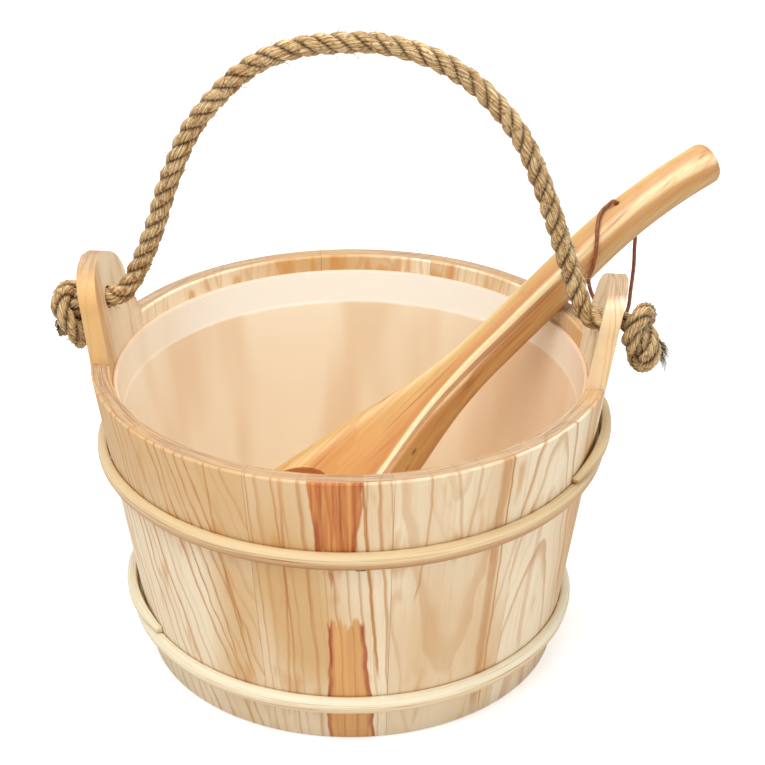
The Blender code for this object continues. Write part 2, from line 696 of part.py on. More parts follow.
def ladle_ring(a):
    rows = ladle_rows()
    half = table(a, rows, 1)
    depth = table(a, rows, 2)
    edge = table(a, rows, 3)
    power = table(a, rows, 4)
    if a > BOWL_CENTRE:
        share = math.sqrt(max(0.0, 1.0 - ((a - BOWL_CENTRE) / BOWL_RADIUS) ** 2))
        half = BOWL_RADIUS * share
        depth = BOWL_DEPTH * share
        edge = min(edge, depth * 0.45)
    top = HANDLE_RADIUS
    dome = a + HANDLE_LENGTH
    if dome < HANDLE_DOME:
        share = math.sqrt(max(0.0, 1.0 - ((HANDLE_DOME - dome) / HANDLE_DOME) ** 2))
        share = 0.30 + 0.70 * share
        half *= share
        middle = HANDLE_RADIUS - depth / 2.0
        depth *= share
        top = middle + depth / 2.0
        edge = depth / 2.0
    point, direction = ladle_spine(a)
    up = Vector((-direction.y, direction.x))
    origin, along, across = ladle_frame()
    ring = []
    count = 24
    for i in range(count):
        angle = math.tau * i / count
        c, s = math.cos(angle), math.sin(angle)
        if s >= 0.0:
            side = half * math.copysign(abs(c) ** (2.0 / power), c)
            height = top - edge + edge * abs(s) ** (2.0 / power)
        else:
            side = half * c
            height = top - edge - (depth - edge) * abs(s)
        spot = point + up * height
        ring.append(origin + along * spot.x + across * side + Vector((0.0, 0.0, spot.y)))
    return ring


def build_ladle(collection, cutters, wood, leather):
    neck = BOWL_CENTRE - FLARE_LENGTH
    marks = [HANDLE_DOME * x - HANDLE_LENGTH for x in (0.0, 0.15, 0.375, 0.69, 1.0)]
    marks += list(np.linspace(2.5 * HANDLE_DOME - HANDLE_LENGTH, 1.1 * neck, 12))
    marks += list(np.linspace(0.92 * neck, BOWL_CENTRE - 0.115 * FLARE_LENGTH, 13))
    marks += [BOWL_CENTRE + BOWL_RADIUS * math.sin(math.radians(d)) for d in (0, 14, 28, 41, 53, 64, 73, 80, 85.5)]
    ladle = loft("ladle", [ladle_ring(float(a)) for a in marks], collection, wood)
    origin, along, across = ladle_frame()
    point, direction = ladle_spine(BOWL_CENTRE)
    up = Vector((-direction.y, direction.x))
    face = point + up * HANDLE_RADIUS
    centre = origin + along * face.x + Vector((0.0, 0.0, face.y))
    axis_z = along * up.x + Vector((0.0, 0.0, up.y))
    axis_x = along * direction.x + Vector((0.0, 0.0, direction.y))
    turn = Matrix((axis_x, across, axis_z)).transposed().to_4x4()
    wide = BOWL_RADIUS - BOWL_LIP
    deep = BOWL_DEPTH - BOWL_FLOOR
    work = bmesh.new()
    bmesh.ops.create_uvsphere(work, u_segments=36, v_segments=18, radius=1.0)
    mesh = bpy.data.meshes.new("ladle_hollow")
    work.to_mesh(mesh)
    work.free()
    mesh.transform(Matrix.Translation(centre) @ turn @ Matrix.Diagonal((wide, wide, deep, 1.0)))
    hollow = bpy.data.objects.new("ladle_hollow", mesh)
    cutters.objects.link(hollow)
    cut(ladle, hollow)
    spine, run = ladle_spine(-THONG_DISTANCE)
    hole_at = origin + along * spine.x + Vector((0.0, 0.0, spine.y))
    upward = Vector((-run.y, run.x))
    through = along * upward.x + Vector((0.0, 0.0, upward.y))
    reach = 1.5 * HANDLE_DEPTH
    hole = rod("ladle_hole", hole_at - through * reach, hole_at + through * reach, THONG_HOLE / 2.0, cutters, sides=16)
    cut(ladle, hole)
    build_thong(collection, leather)


def handle_point(a, angle, reach):
    """Point beside the ladle's spine at a: angle 0 is on top, 90 on the side towards the front."""
    origin, along, across = ladle_frame()
    point, direction = ladle_spine(a)
    turn = math.radians(angle)
    run = point.x - direction.y * math.cos(turn) * reach
    height = point.y + direction.x * math.cos(turn) * reach
    return origin + along * run - across * math.sin(turn) * reach + Vector((0.0, 0.0, height))


def build_thong(collection, leather):
    """Closed leather loop through the handle's hole: up through it, round the front of the handle, down
    outside the rim and back up to the hole's lower mouth."""
    at = -THONG_DISTANCE
    size = HANDLE_RADIUS
    lie = HANDLE_RADIUS + THONG_DIAMETER / 2.0 + THONG_CLEARANCE
    hand = [handle_point(at, 0.0, share * size) for share in (-0.89, -0.34, 0.34, 0.89)]
    hand.append(handle_point(at + 0.05 * size, 0.0, 1.03 * lie))
    for share, angle in ((0.305, -3.0), (0.593, -3.0), (0.958, 6.0), (1.424, 28.0), (1.839, 50.0),
                         (2.237, 69.0), (2.542, 82.0), (2.839, 95.0)):
        hand.append(handle_point(at + share * size, angle, lie))
    hole, along, across = handle_point(at, 0.0, 0.0), ladle_frame()[1], ladle_frame()[2]
    for run, side, height in ((-2.458, -1.169, -2.161), (-2.331, -1.186, -2.797), (-1.822, -1.034, -3.729),
                              (-0.975, -0.636, -4.746), (-0.085, -0.186, -5.254), (0.508, 0.085, -4.873),
                              (0.661, 0.169, -3.890), (0.746, 0.169, -2.686), (0.678, 0.085, -1.695)):
        hand.append(hole + (along * run + across * side + Vector((0.0, 0.0, height))) * size)
    hand.append(handle_point(at, 0.0, -1.03 * lie))
    hand.append(hand[0])
    path = smooth_path([tuple(p) for p in hand], 81)[:-1]
    print("thong loop length %.1f mm" % (path_length(np.vstack([path, path[:1]])) * 1000.0))
    return tube("ladle_thong", path, THONG_DIAMETER, collection, leather, closed=True, resolution=1)


def main():
    for obj in list(bpy.data.objects):
        bpy.data.objects.remove(obj)
    bucket = make_collection("sauna_bucket")
    cutters = make_collection("cutters")
    cutters.hide_render = True
    pine = make_material("pine", (0.80, 0.62, 0.40), 0.55)
    board_wood = make_material("board_pine", (0.76, 0.58, 0.37), 0.6)
    plastic = make_material("liner_plastic", (0.80, 0.62, 0.47), 0.35)
    cane = make_material("cane", (0.82, 0.66, 0.45), 0.4)
    hemp = make_material("hemp", (0.62, 0.42, 0.20), 0.85)
    handle_wood = make_material("ladle_wood", (0.80, 0.56, 0.30), 0.45)
    leather = make_material("leather", (0.16, 0.08, 0.05), 0.7)
    wire = make_material("staple_steel", (0.35, 0.33, 0.30), 0.4, 1.0)
    staves = build_staves(bucket, cutters, pine)
    build_board(bucket, board_wood)
    build_liner(bucket, plastic)
    build_hoop("upper_hoop", UPPER_HOOP_Z, UPPER_TIP_ANGLE, 1.0, bucket, cane)
    build_hoop("lower_hoop", LOWER_HOOP_Z, LOWER_TIP_ANGLE, -1.0, bucket, cane)
    for name, z in (("staple_upper", UPPER_HOOP_Z), ("staple_lower", LOWER_HOOP_Z)):
        build_staple(name, z, bucket, wire, cutters, staves["stave_front_3"])
    build_bail(bucket, hemp)
    build_knots(bucket, hemp)
    build_ladle(bucket, cutters, handle_wood, leather)


main()
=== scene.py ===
"""A pine sauna bucket with a rope bail, cane hoops, a moulded liner and a carved ladle.

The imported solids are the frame. Every piece made here sits where its solid sits, in metres, with +Z
up and the origin at the centre of the bottom board's underside.
"""
import logging
from dataclasses import dataclass
from enum import Enum
from functools import cache
from math import atan2, copysign, cos, degrees, exp, hypot, pi, radians, sin, sqrt, tau
from typing import Callable, Iterable, Optional, Sequence

import bmesh
import bpy
import numpy as np
from bpy.types import ID, Material, Node, NodeInputs, NodeOutputs, NodeSocket as Socket, NodeTree, Object
from mathutils import Matrix, Vector

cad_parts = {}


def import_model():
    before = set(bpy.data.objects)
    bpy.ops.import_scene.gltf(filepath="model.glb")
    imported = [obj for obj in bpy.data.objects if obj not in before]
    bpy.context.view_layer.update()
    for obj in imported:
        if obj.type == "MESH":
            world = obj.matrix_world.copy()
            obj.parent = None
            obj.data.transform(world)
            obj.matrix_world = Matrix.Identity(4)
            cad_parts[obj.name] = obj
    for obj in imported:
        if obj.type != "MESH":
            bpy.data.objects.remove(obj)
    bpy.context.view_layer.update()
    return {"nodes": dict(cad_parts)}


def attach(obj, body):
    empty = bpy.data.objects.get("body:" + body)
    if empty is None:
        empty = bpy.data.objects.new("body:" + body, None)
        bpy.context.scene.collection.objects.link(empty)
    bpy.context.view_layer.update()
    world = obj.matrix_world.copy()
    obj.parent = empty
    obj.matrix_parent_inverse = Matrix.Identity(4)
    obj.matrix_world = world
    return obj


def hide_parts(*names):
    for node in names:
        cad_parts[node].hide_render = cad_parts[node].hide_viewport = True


LOG = logging.getLogger("sauna_bucket")
Colour = tuple[float, float, float, float]


def paint(red: int, green: int, blue: int) -> Colour:
    """Linear colour of a display colour.

    Args:
        red: Red, 0 to 255.
        green: Green, 0 to 255.
        blue: Blue, 0 to 255.

    Returns:
        The linear colour with full alpha.
    """
    shares = (value / 255.0 for value in (red, green, blue))
    return (*(v / 12.92 if v <= 0.04045 else ((v + 0.055) / 1.055) ** 2.4 for v in shares), 1.0)


# Sizes that several pieces share


@dataclass(frozen=True)
class TubForm:
    """The coopered wall: its cone, its thickness and the places of what it carries."""

    chime: float = 0.008
    height: float = 0.1683
    rim_radius: float = 0.1375
    foot_radius: float = 0.1122
    wall: float = 0.0098
    gap: float = 0.0003
    board_thickness: float = 0.010
    board_rebate: float = 0.003
    croze_depth: float = 0.004
    ear_centre: float = 2.7
    ear_angle: float = 28.8
    ear_rise: float = 0.0472
    hinge_y: float = 0.0064
    hinge_rise: float = 0.0237

    @property
    def foot_z(self) -> float:
        """Height of the staves' feet."""
        return -self.chime

    @property
    def rim_z(self) -> float:
        """Height of the rim."""
        return self.foot_z + self.height

    @property
    def taper(self) -> float:
        """Growth of the radius with height."""
        return (self.rim_radius - self.foot_radius) / self.height

    @property
    def hinge_z(self) -> float:
        """Height of the line through the two ear holes."""
        return self.rim_z + self.hinge_rise

    @property
    def ear_top_z(self) -> float:
        """Height of the ears' tops."""
        return self.rim_z + self.ear_rise

    def radius(self, z: float) -> float:
        """Outer radius of the wall at height z."""
        return self.rim_radius - (self.rim_z - z) * self.taper

    def inner(self, z: float) -> float:
        """Inner radius of the wall at height z."""
        return self.radius(z) - self.wall


TUB = TubForm()


# Meshes


def link(name: str, data: ID) -> Object:
    """A linked object that shows some data.

    Args:
        name: The object's name.
        data: A mesh, curve, lamp or camera.

    Returns:
        The object.
    """
    obj = bpy.data.objects.new(name, data)
    bpy.context.scene.collection.objects.link(obj)
    return obj


def mesh_object(name: str, vertices: Sequence, faces: Sequence, edges: Sequence = ()) -> Object:
    """A linked mesh object at the origin.

    Args:
        name: The object's name.
        vertices: Points in metres.
        faces: Vertex rings.
        edges: Loose edges, for a line.

    Returns:
        The new object.
    """
    mesh = bpy.data.meshes.new(name)
    mesh.from_pydata([tuple(map(float, v)) for v in vertices], list(edges), list(faces))
    mesh.update()
    return link(name, mesh)


def primitive(name: str, matrix: Matrix, build: Callable, **sizes: object) -> Object:
    """A Blender primitive with its place in its mesh.

    Args:
        name: The object's name.
        matrix: Its place, turn and size.
        build: The operator that makes it.
        sizes: The operator's own settings.

    Returns:
        The linked object.
    """
    work = bmesh.new()
    build(work, **sizes)
    mesh = bpy.data.meshes.new(name)
    work.to_mesh(mesh)
    work.free()
    mesh.transform(matrix)
    return link(name, mesh)


def rod(place: Matrix, radius: float, length: float, segments: int) -> Object:
    """A round cutter along the Z axis of its place."""
    return primitive("rod", place, bmesh.ops.create_cone, cap_ends=True, segments=segments,
                     radius1=radius, radius2=radius, depth=length)


def around(radius: float, angle: float, z: float) -> tuple[float, float, float]:
    """Point at a radius, at an angle in radians round the tub, and at a height."""
    return radius * cos(angle), radius * sin(angle), z


def turn_outwards(obj: Object) -> None:
    """Points every face of a closed body outwards.

    Args:
        obj: The body.
    """
    work = bmesh.new()
    work.from_mesh(obj.data)
    bmesh.ops.recalc_face_normals(work, faces=work.faces)
    if work.calc_volume(signed=True) < 0.0:
        bmesh.ops.reverse_faces(work, faces=work.faces)
    work.to_mesh(obj.data)
    work.free()


def smooth(obj: Object, angle: float) -> None:
    """Shades an object smooth, keeping edges sharper than the angle in degrees."""
    obj.data.shade_smooth()
    obj.data.set_sharp_from_angle(angle=radians(angle))


def dress(obj: Object, material: Material) -> None:
    """Gives an object one material."""
    obj.data.materials.clear()
    obj.data.materials.append(material)


def write_points(obj: Object, **layers: Iterable[float]) -> None:
    """Stores numbers for each vertex of a mesh.

    Args:
        obj: The mesh object.
        layers: The numbers, by the attribute's name.
    """
    for name, values in layers.items():
        layer = obj.data.attributes.new(name, "FLOAT", "POINT")
        layer.data.foreach_set("value", np.asarray(list(values), dtype=np.float32))


def seat(obj: Object, body: str, slot: str, *nodes: str) -> None:
    """Gives a finished piece its body, and takes away the solids that it stands for.

    Args:
        obj: The piece.
        body: The body that it moves with.
        slot: Its material slot; not used.
        nodes: The solids' names.
    """
    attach(obj, body)
    if nodes:
        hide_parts(*nodes)
    LOG.info("%s, %d faces", obj.name, len(obj.data.polygons))


def loft(name: str, rings: Sequence[Sequence], strips: bool = False) -> Object:
    """A closed body through rings of equal count, with caps at its ends.

    Args:
        name: The object's name.
        rings: The rings, from one end to the other.
        strips: True where a cap is a row of quads from one half of its ring to the other, not one face.

    Returns:
        The body.
    """
    count = len(rings[0])
    rows = len(rings)
    faces = []
    for row in range(rows - 1):
        here, below = row * count, (row + 1) * count
        for i in range(count):
            j = (i + 1) % count
            faces.append((here + i, here + j, below + j, below + i))
    for first in (0, (rows - 1) * count):
        if strips:
            last = first + count - 1
            faces += [(first + i, first + i + 1, last - i - 1, last - i) for i in range(count // 2 - 1)]
        else:
            faces.append(tuple(range(first, first + count)))
    obj = mesh_object(name, [point for ring in rings for point in ring], faces)
    turn_outwards(obj)
    return obj


def bake(obj: Object, name: str, keep: bool = False) -> Object:
    """Makes a plain mesh of an object and its modifiers.

    Args:
        obj: The object with live modifiers.
        name: The plain object's name.
        keep: True where the source object stays.

    Returns:
        The plain object.
    """
    bpy.context.view_layer.update()
    graph = bpy.context.evaluated_depsgraph_get()
    mesh = bpy.data.meshes.new_from_object(obj.evaluated_get(graph), preserve_all_data_layers=True,
                                           depsgraph=graph)
    if not keep:
        bpy.data.objects.remove(obj)
    mesh.name = name
    return link(name, mesh)


def cut(obj: Object, cutter: Object, name: str) -> Object:
    """Cuts one body out of another.

    Args:
        obj: The body, which is used up.
        cutter: The cutter, which is used up.
        name: The result's name.

    Returns:
        The cut body as a plain mesh.
    """
    modifier = obj.modifiers.new("Cut", "BOOLEAN")
    modifier.operation = "DIFFERENCE"
    modifier.solver = "EXACT"
    modifier.object = cutter
    result = bake(obj, name)
    bpy.data.objects.remove(cutter)
    return result


def soften(obj: Object, width: float, angle: float = 40.0, clamp: bool = False) -> None:
    """Rounds the sharp edges of a body with a live Bevel.

    Args:
        obj: The body.
        width: Width of the rounding in metres.
        angle: Edges sharper than this many degrees are rounded.
        clamp: True to keep the rounding from crossing short faces.
    """
    bevel = obj.modifiers.new("Eased edges", "BEVEL")
    bevel.width = width
    bevel.segments = 2
    bevel.limit_method = "ANGLE"
    bevel.angle_limit = radians(angle)
    bevel.use_clamp_overlap = clamp
    bevel.harden_normals = False


# Paths


def distances(path: np.ndarray) -> np.ndarray:
    """Distance along a path at each of its points."""
    return np.concatenate([[0.0], np.cumsum(np.linalg.norm(np.diff(path, axis=0), axis=1))])


def even_steps(path: np.ndarray, count: int) -> np.ndarray:
    """Points at even steps along a path.

    Args:
        path: Points, one a row.
        count: Number of points wanted.

    Returns:
        The even points.
    """
    run = distances(path)
    marks = np.linspace(0.0, run[-1], count)
    return np.stack([np.interp(marks, run, path[:, k]) for k in range(3)], axis=-1)


def ease(share: float) -> float:
    """Smooth step from 0 to 1, of a number or of each number in an array."""
    share = np.clip(share, 0.0, 1.0)
    return share * share * (3.0 - 2.0 * share)


def held(value: float) -> float:
    """A number held between 0 and 1."""
    return min(1.0, max(0.0, value))


def smooth_path(points: Sequence, count: int) -> np.ndarray:
    """Even points along a smooth curve through the given points.

    Args:
        points: The route's own points.
        count: Number of points wanted.

    Returns:
        The even points.
    """
    knots = np.array(points, dtype=float)
    padded = np.vstack([2.0 * knots[0] - knots[1], knots, 2.0 * knots[-1] - knots[-2]])
    steps_between = 24
    fine = []
    for i in range(1, len(padded) - 2):
        p0, p1, p2, p3 = padded[i - 1], padded[i], padded[i + 1], padded[i + 2]
        for t in np.linspace(0.0, 1.0, steps_between, endpoint=False):
            fine.append(0.5 * (2.0 * p1 + (p2 - p0) * t + (2.0 * p0 - 5.0 * p1 + 4.0 * p2 - p3) * t ** 2
                               + (3.0 * p1 - p0 - 3.0 * p2 + p3) * t ** 3))
    fine.append(knots[-1])
    return even_steps(np.array(fine), count)


def frames_along(path: np.ndarray) -> tuple[np.ndarray, np.ndarray]:
    """Frames carried along a path without twist.

    Args:
        path: Points, one a row.

    Returns:
        Normals and binormals, one a row.
    """
    tangents = np.gradient(path, axis=0)
    tangents /= np.linalg.norm(tangents, axis=1)[:, None]
    normals = np.zeros_like(path)
    start = np.cross(tangents[0], [0.0, 0.0, 1.0])
    if np.linalg.norm(start) < 0.1:
        start = np.cross(tangents[0], [1.0, 0.0, 0.0])
    normals[0] = start / np.linalg.norm(start)
    for i in range(1, len(path)):
        carried = normals[i - 1] - tangents[i] * np.dot(normals[i - 1], tangents[i])
        normals[i] = carried / np.linalg.norm(carried)
    return normals, np.cross(tangents, normals)


def sweep(name: str, path: np.ndarray, section: Callable[[float, float], float],
          sides: int) -> Object:
    """A tube along a path, with its run and turn stored for its finish.

    Args:
        name: The object's name.
        path: Points, one a row.
        section: Radius at (distance along, angle round).
        sides: Points round the tube.

    Returns:
        The tube, with flat caps.
    """
    run = distances(path)
    normals, binormals = frames_along(path)
    angles = tau * np.arange(sides) / sides
    rings = []
    for point, normal, binormal, at in zip(path, normals, binormals, run):
        rings.append([point + section(float(at), float(a)) * (cos(a) * normal + sin(a) * binormal)
                      for a in angles])
    obj = loft(name, rings)
    rows = len(path)
    write_points(obj, run=np.repeat(run, sides), turn_x=np.tile(np.cos(angles), rows),
                 turn_y=np.tile(np.sin(angles), rows))
    return obj


# Node trees


SOCKET_KINDS = {"place": "Vector", "line": "Geometry", "rope": "Geometry", "fibres": "Geometry",
                "finish": "Material", "random seed": "Int"}
WHITE = (1.0, 1.0, 1.0, 1.0)


class Tree:
    """A short hand for building node trees."""

    def __init__(self, tree: NodeTree) -> None:
        """Wraps a node tree."""
        self.tree = tree

    def node(self, kind: str, inputs: Optional[dict] = None, **settings: object) -> Node:
        """Adds a node.

        Args:
            kind: The node's type.
            inputs: Values or sockets by input name or index.
            settings: Properties of the node.

        Returns:
            The node.
        """
        node = self.tree.nodes.new(kind)
        for key, value in settings.items():
            setattr(node, key, value)
        for key, value in (inputs or {}).items():
            self.feed(node.inputs[key], value)
        return node

    def feed(self, socket: Socket, value: object) -> None:
        """Links a socket to an output, or gives it a value.

        Args:
            socket: The socket to feed.
            value: An output socket or a plain value.
        """
        if isinstance(value, Socket):
            self.tree.links.new(value, socket)
        else:
            socket.default_value = value

    def take(self, kind: str, inputs: Optional[dict] = None, **settings: object) -> Socket:
        """Adds a node and gives its first output."""
        return self.node(kind, inputs, **settings).outputs[0]

    def math(self, operation: str, *values: object) -> Socket:
        """One arithmetic step on numbers."""
        return self.take("ShaderNodeMath", dict(enumerate(values)), operation=operation)

    def times(self, first: object, second: object) -> Socket:
        """The product of two numbers."""
        return self.math("MULTIPLY", first, second)

    def plus(self, first: object, second: object) -> Socket:
        """The sum of two numbers."""
        return self.math("ADD", first, second)

    def minus(self, first: object, second: object) -> Socket:
        """The difference of two numbers."""
        return self.math("SUBTRACT", first, second)

    def linear(self, value: object, slope: object, start: object) -> Socket:
        """A number times a slope, plus a start."""
        return self.math("MULTIPLY_ADD", value, slope, start)

    def vector(self, operation: str, first: object, second: object = (0.0, 0.0, 0.0)) -> Socket:
        """One vector step with a vector result."""
        node = self.node("ShaderNodeVectorMath", {0: first, 1: second}, operation=operation)
        return node.outputs["Vector"]

    def scaled(self, vector: object, factor: object) -> Socket:
        """A vector times a number."""
        return self.take("ShaderNodeVectorMath", {0: vector, "Scale": factor}, operation="SCALE")

    def turned(self, vector: Socket, axis: str, angle: object) -> Socket:
        """A vector turned back about an axis, by an angle in radians."""
        inputs = {"Vector": vector, "Angle": angle}
        return self.take("ShaderNodeVectorRotate", inputs, rotation_type=axis + "_AXIS", invert=True)

    def combine(self, x: object, y: object, z: object) -> Socket:
        """A vector of three numbers."""
        return self.take("ShaderNodeCombineXYZ", {0: x, 1: y, 2: z})

    def split(self, vector: Socket) -> tuple[Socket, ...]:
        """The three numbers of a vector."""
        return tuple(self.node("ShaderNodeSeparateXYZ", {0: vector}).outputs)

    def place(self) -> Socket:
        """Place in metres, for a material."""
        return self.node("ShaderNodeTexCoord").outputs["Object"]

    def noise(self, vector: object, scale: float, detail: float, roughness: float = 0.5) -> Socket:
        """Smooth noise from 0 to 1."""
        inputs = {"Vector": vector, "Scale": scale, "Detail": detail, "Roughness": roughness}
        return self.node("ShaderNodeTexNoise", inputs).outputs["Fac"]

    def grain(self, place: Socket, repeats: tuple[float, float, float], detail: float,
              seed: object = (0.0, 0.0, 0.0), roughness: float = 0.5) -> Socket:
        """Smooth noise with its own number of repeats a metre on each axis.

        Args:
            place: The place in metres.
            repeats: Repeats a metre.
            detail: Octaves.
            seed: Where in the noise.
            roughness: Weight of the finer octaves.

        Returns:
            The noise, from 0 to 1.
        """
        stretched = self.vector("MULTIPLY", place, repeats)
        return self.noise(self.vector("ADD", stretched, seed), 1.0, detail, roughness)

    def stored(self, name: str) -> Socket:
        """A number stored on the piece, for a material."""
        return self.node("ShaderNodeAttribute", attribute_name=name).outputs["Fac"]

    def named(self, name: str, kind: str = "FLOAT") -> Socket:
        """A value stored on the piece, for geometry nodes."""
        return self.take("GeometryNodeInputNamedAttribute", {"Name": name}, data_type=kind)

    def store(self, geometry: Socket, name: str, value: Socket, kind: str = "FLOAT") -> Socket:
        """Geometry with a value stored at its points."""
        inputs = {"Geometry": geometry, "Name": name, "Value": value}
        return self.take("GeometryNodeStoreNamedAttribute", inputs, data_type=kind, domain="POINT")

    def between(self, low: float, high: float, **seed: Socket) -> Socket:
        """A random number for each point."""
        return self.node("FunctionNodeRandomValue", {2: low, 3: high, **seed}, data_type="FLOAT").outputs[1]

    def finish_as(self, geometry: Socket, material: Socket) -> Socket:
        """Real geometry, with its material."""
        real = self.take("GeometryNodeRealizeInstances", {"Geometry": geometry})
        return self.take("GeometryNodeSetMaterial", {"Geometry": real, "Material": material})

    def band(self, value: object, low: object, high: object, to_low: object = 0.0,
             to_high: object = 1.0) -> Socket:
        """Value carried smoothly from one range to another, and held at its ends."""
        inputs = {0: value, 1: low, 2: high, 3: to_low, 4: to_high}
        return self.take("ShaderNodeMapRange", inputs, interpolation_type="SMOOTHSTEP", clamp=True)

    def share(self, value: object, low: object, high: object) -> Socket:
        """Place of a value between two others, from 0 to 1."""
        return self.take("ShaderNodeMapRange", {0: value, 1: low, 2: high}, clamp=True)

    def mix(self, factor: object, first: object, second: object) -> Socket:
        """A blend of two colours."""
        return self.node("ShaderNodeMix", {0: factor, 6: first, 7: second}, data_type="RGBA").outputs[2]

    def layers(self, colour: object, *coats: tuple[object, object]) -> Socket:
        """A colour with others laid over it in turn, each where its mask is.

        Args:
            colour: The lowest colour.
            coats: A mask and a colour for each layer.

        Returns:
            The colour on top.
        """
        for mask, over in coats:
            colour = self.mix(mask, colour, over)
        return colour

    def ramp(self, value: Socket, stops: Sequence[tuple[float, Colour]]) -> Socket:
        """A colour read from stops, each a place on the ramp and a colour, in order.

        Args:
            value: The place on the ramp.
            stops: Places and colours, in order.

        Returns:
            The colour.
        """
        node = self.node("ShaderNodeValToRGB", {0: value})
        elements = node.color_ramp.elements
        while len(elements) < len(stops):
            elements.new(0.5)
        for element, (place, colour) in zip(elements, stops):
            element.position = place
            element.color = colour
        return node.outputs["Color"]

    def seen(self) -> Socket:
        """1 where a ray comes from the camera, straight or through glass, and 0 for other rays."""
        rays = self.node("ShaderNodeLightPath").outputs
        return self.math("MAXIMUM", rays["Is Camera Ray"], rays["Is Transmission Ray"])

    def group(self, tree: NodeTree, **inputs: object) -> NodeOutputs:
        """Places a shader node group, its inputs named with underscores for blanks, and gives its outputs.

        Args:
            tree: The group.
            inputs: Values or sockets by input name.

        Returns:
            The group's outputs.
        """
        node = self.node("ShaderNodeGroup", node_tree=tree)
        for key, value in inputs.items():
            self.feed(node.inputs[key.replace("_", " ")], value)
        return node.outputs


class MaterialTree(Tree):
    """The tree of a new material, with its Principled shader."""

    def __init__(self, name: str) -> None:
        """Makes the material.

        Args:
            name: The material's name.
        """
        self.material = bpy.data.materials.new(name)
        self.material.use_nodes = True
        super().__init__(self.material.node_tree)
        self.shader = self.tree.nodes["Principled BSDF"]

    def coat(self, colour: Socket, roughness: object, specular: float = 0.5, relief: Optional[Socket] = None,
             depth: float = 0.0, strength: float = 1.0) -> Material:
        """Feeds the Principled shader.

        Args:
            colour: Base colour.
            roughness: Roughness.
            specular: Strength of the gloss.
            relief: Height of the surface, from 0 to 1, where it has any.
            depth: Depth of the relief in metres.
            strength: Strength of the relief.

        Returns:
            The material.
        """
        self.feed(self.shader.inputs["Base Color"], colour)
        self.feed(self.shader.inputs["Roughness"], roughness)
        self.shader.inputs["Specular IOR Level"].default_value = specular
        if relief:
            bump = self.take("ShaderNodeBump", {"Height": relief, "Distance": depth, "Strength": strength})
            self.feed(self.shader.inputs["Normal"], bump)
        return self.material


def close(tree: Tree, result: NodeInputs, **values: Socket) -> NodeTree:
    """Feeds a group's outputs and gives the finished group.

    Args:
        tree: The group's tree.
        result: What goes out of it.
        values: The sockets to give, by output name.

    Returns:
        The group.
    """
    for label, value in values.items():
        tree.feed(result[label], value)
    return tree.tree


def new_group(name: str, inputs: Sequence[str], outputs: Sequence[str],
              family: str = "ShaderNodeTree") -> tuple[Tree, NodeOutputs, NodeInputs]:
    """A node group with named sockets, which are numbers unless SOCKET_KINDS says otherwise.

    Args:
        name: The group's name.
        inputs: Name of each input.
        outputs: Name of each output.
        family: Shader or geometry nodes.

    Returns:
        The tree, what comes into it and what goes out of it.
    """
    tree = bpy.data.node_groups.new(name, family)
    for labels, way in ((inputs, "INPUT"), (outputs, "OUTPUT")):
        for label in labels:
            kind = "NodeSocket" + SOCKET_KINDS.get(label, "Float")
            tree.interface.new_socket(label, in_out=way, socket_type=kind)
    return Tree(tree), tree.nodes.new("NodeGroupInput").outputs, tree.nodes.new("NodeGroupOutput").inputs


@cache
def wall_place_group() -> NodeTree:
    """Place on a stave: across, along and into the wood, in metres, from object coordinates.

    Returns:
        The group.
    """
    tree, given, result = new_group("Place on a stave", ["angle"], ["place"])
    x, y, z = tree.split(tree.turned(tree.place(), "Z", given["angle"]))
    reach = tree.math("SQRT", tree.plus(tree.times(x, x), tree.times(y, y)))
    face = tree.linear(z, TUB.taper, TUB.rim_radius - TUB.rim_z * TUB.taper)
    across = tree.times(tree.math("ARCTAN2", y, x), tree.linear(face, 0.5, 0.5 * TUB.rim_radius))
    return close(tree, result, place=tree.combine(across, z, tree.minus(face, reach)))


@cache
def rings_group() -> NodeTree:
    """Year rings of a log cut to a board: the thin latewood line, a slow change of tone, and fine fibre.

    Returns:
        The group.
    """
    inputs = ["place", "pith across", "pith depth", "lean", "spacing", "wobble", "seed"]
    tree, given, result = new_group("Year rings", inputs, ["latewood", "tone", "fibre"])
    times, plus, linear, band = tree.times, tree.plus, tree.linear, tree.band
    place = given["place"]
    seed = tree.scaled((3.7, 1.9, 7.3), given["seed"])
    slow = tree.grain(place, (14.0, 6.0, 14.0), 1.0, seed)
    quick = tree.grain(place, (55.0, 34.0, 55.0), 1.5, seed)
    wobble = times(linear(slow, 2.0, -1.0), given["wobble"])
    jitter = times(linear(quick, 2.0, -1.0), times(given["wobble"], 0.75))
    across, along, into = tree.split(place)
    side = tree.minus(across, given["pith across"])
    depth = plus(into, given["pith depth"])
    cone = linear(along, given["lean"], tree.math("SQRT", plus(times(side, side), times(depth, depth))))
    count = tree.math("DIVIDE", plus(cone, plus(wobble, jitter)), given["spacing"])
    stretch = tree.noise(tree.combine(times(count, 0.45), given["seed"], 0.0), 1.0, 0.0)
    year = linear(stretch, 1.8, count)
    part = tree.math("FRACT", year)
    rise = plus(times(band(part, 0.40, 0.88), 0.18), times(band(part, 0.66, 0.85), 0.82))
    fall = band(part, 0.925, 0.995, 1.0, 0.0)
    number = tree.node("ShaderNodeTexWhiteNoise", {"W": tree.math("FLOOR", year)}, noise_dimensions="1D")
    late = times(times(rise, fall), linear(number.outputs["Value"], 0.85, 0.20))
    return close(tree, result, latewood=late,
                 tone=slow,
                 fibre=tree.grain(place, (620.0, 16.0, 620.0), 3.0, seed, 0.6))


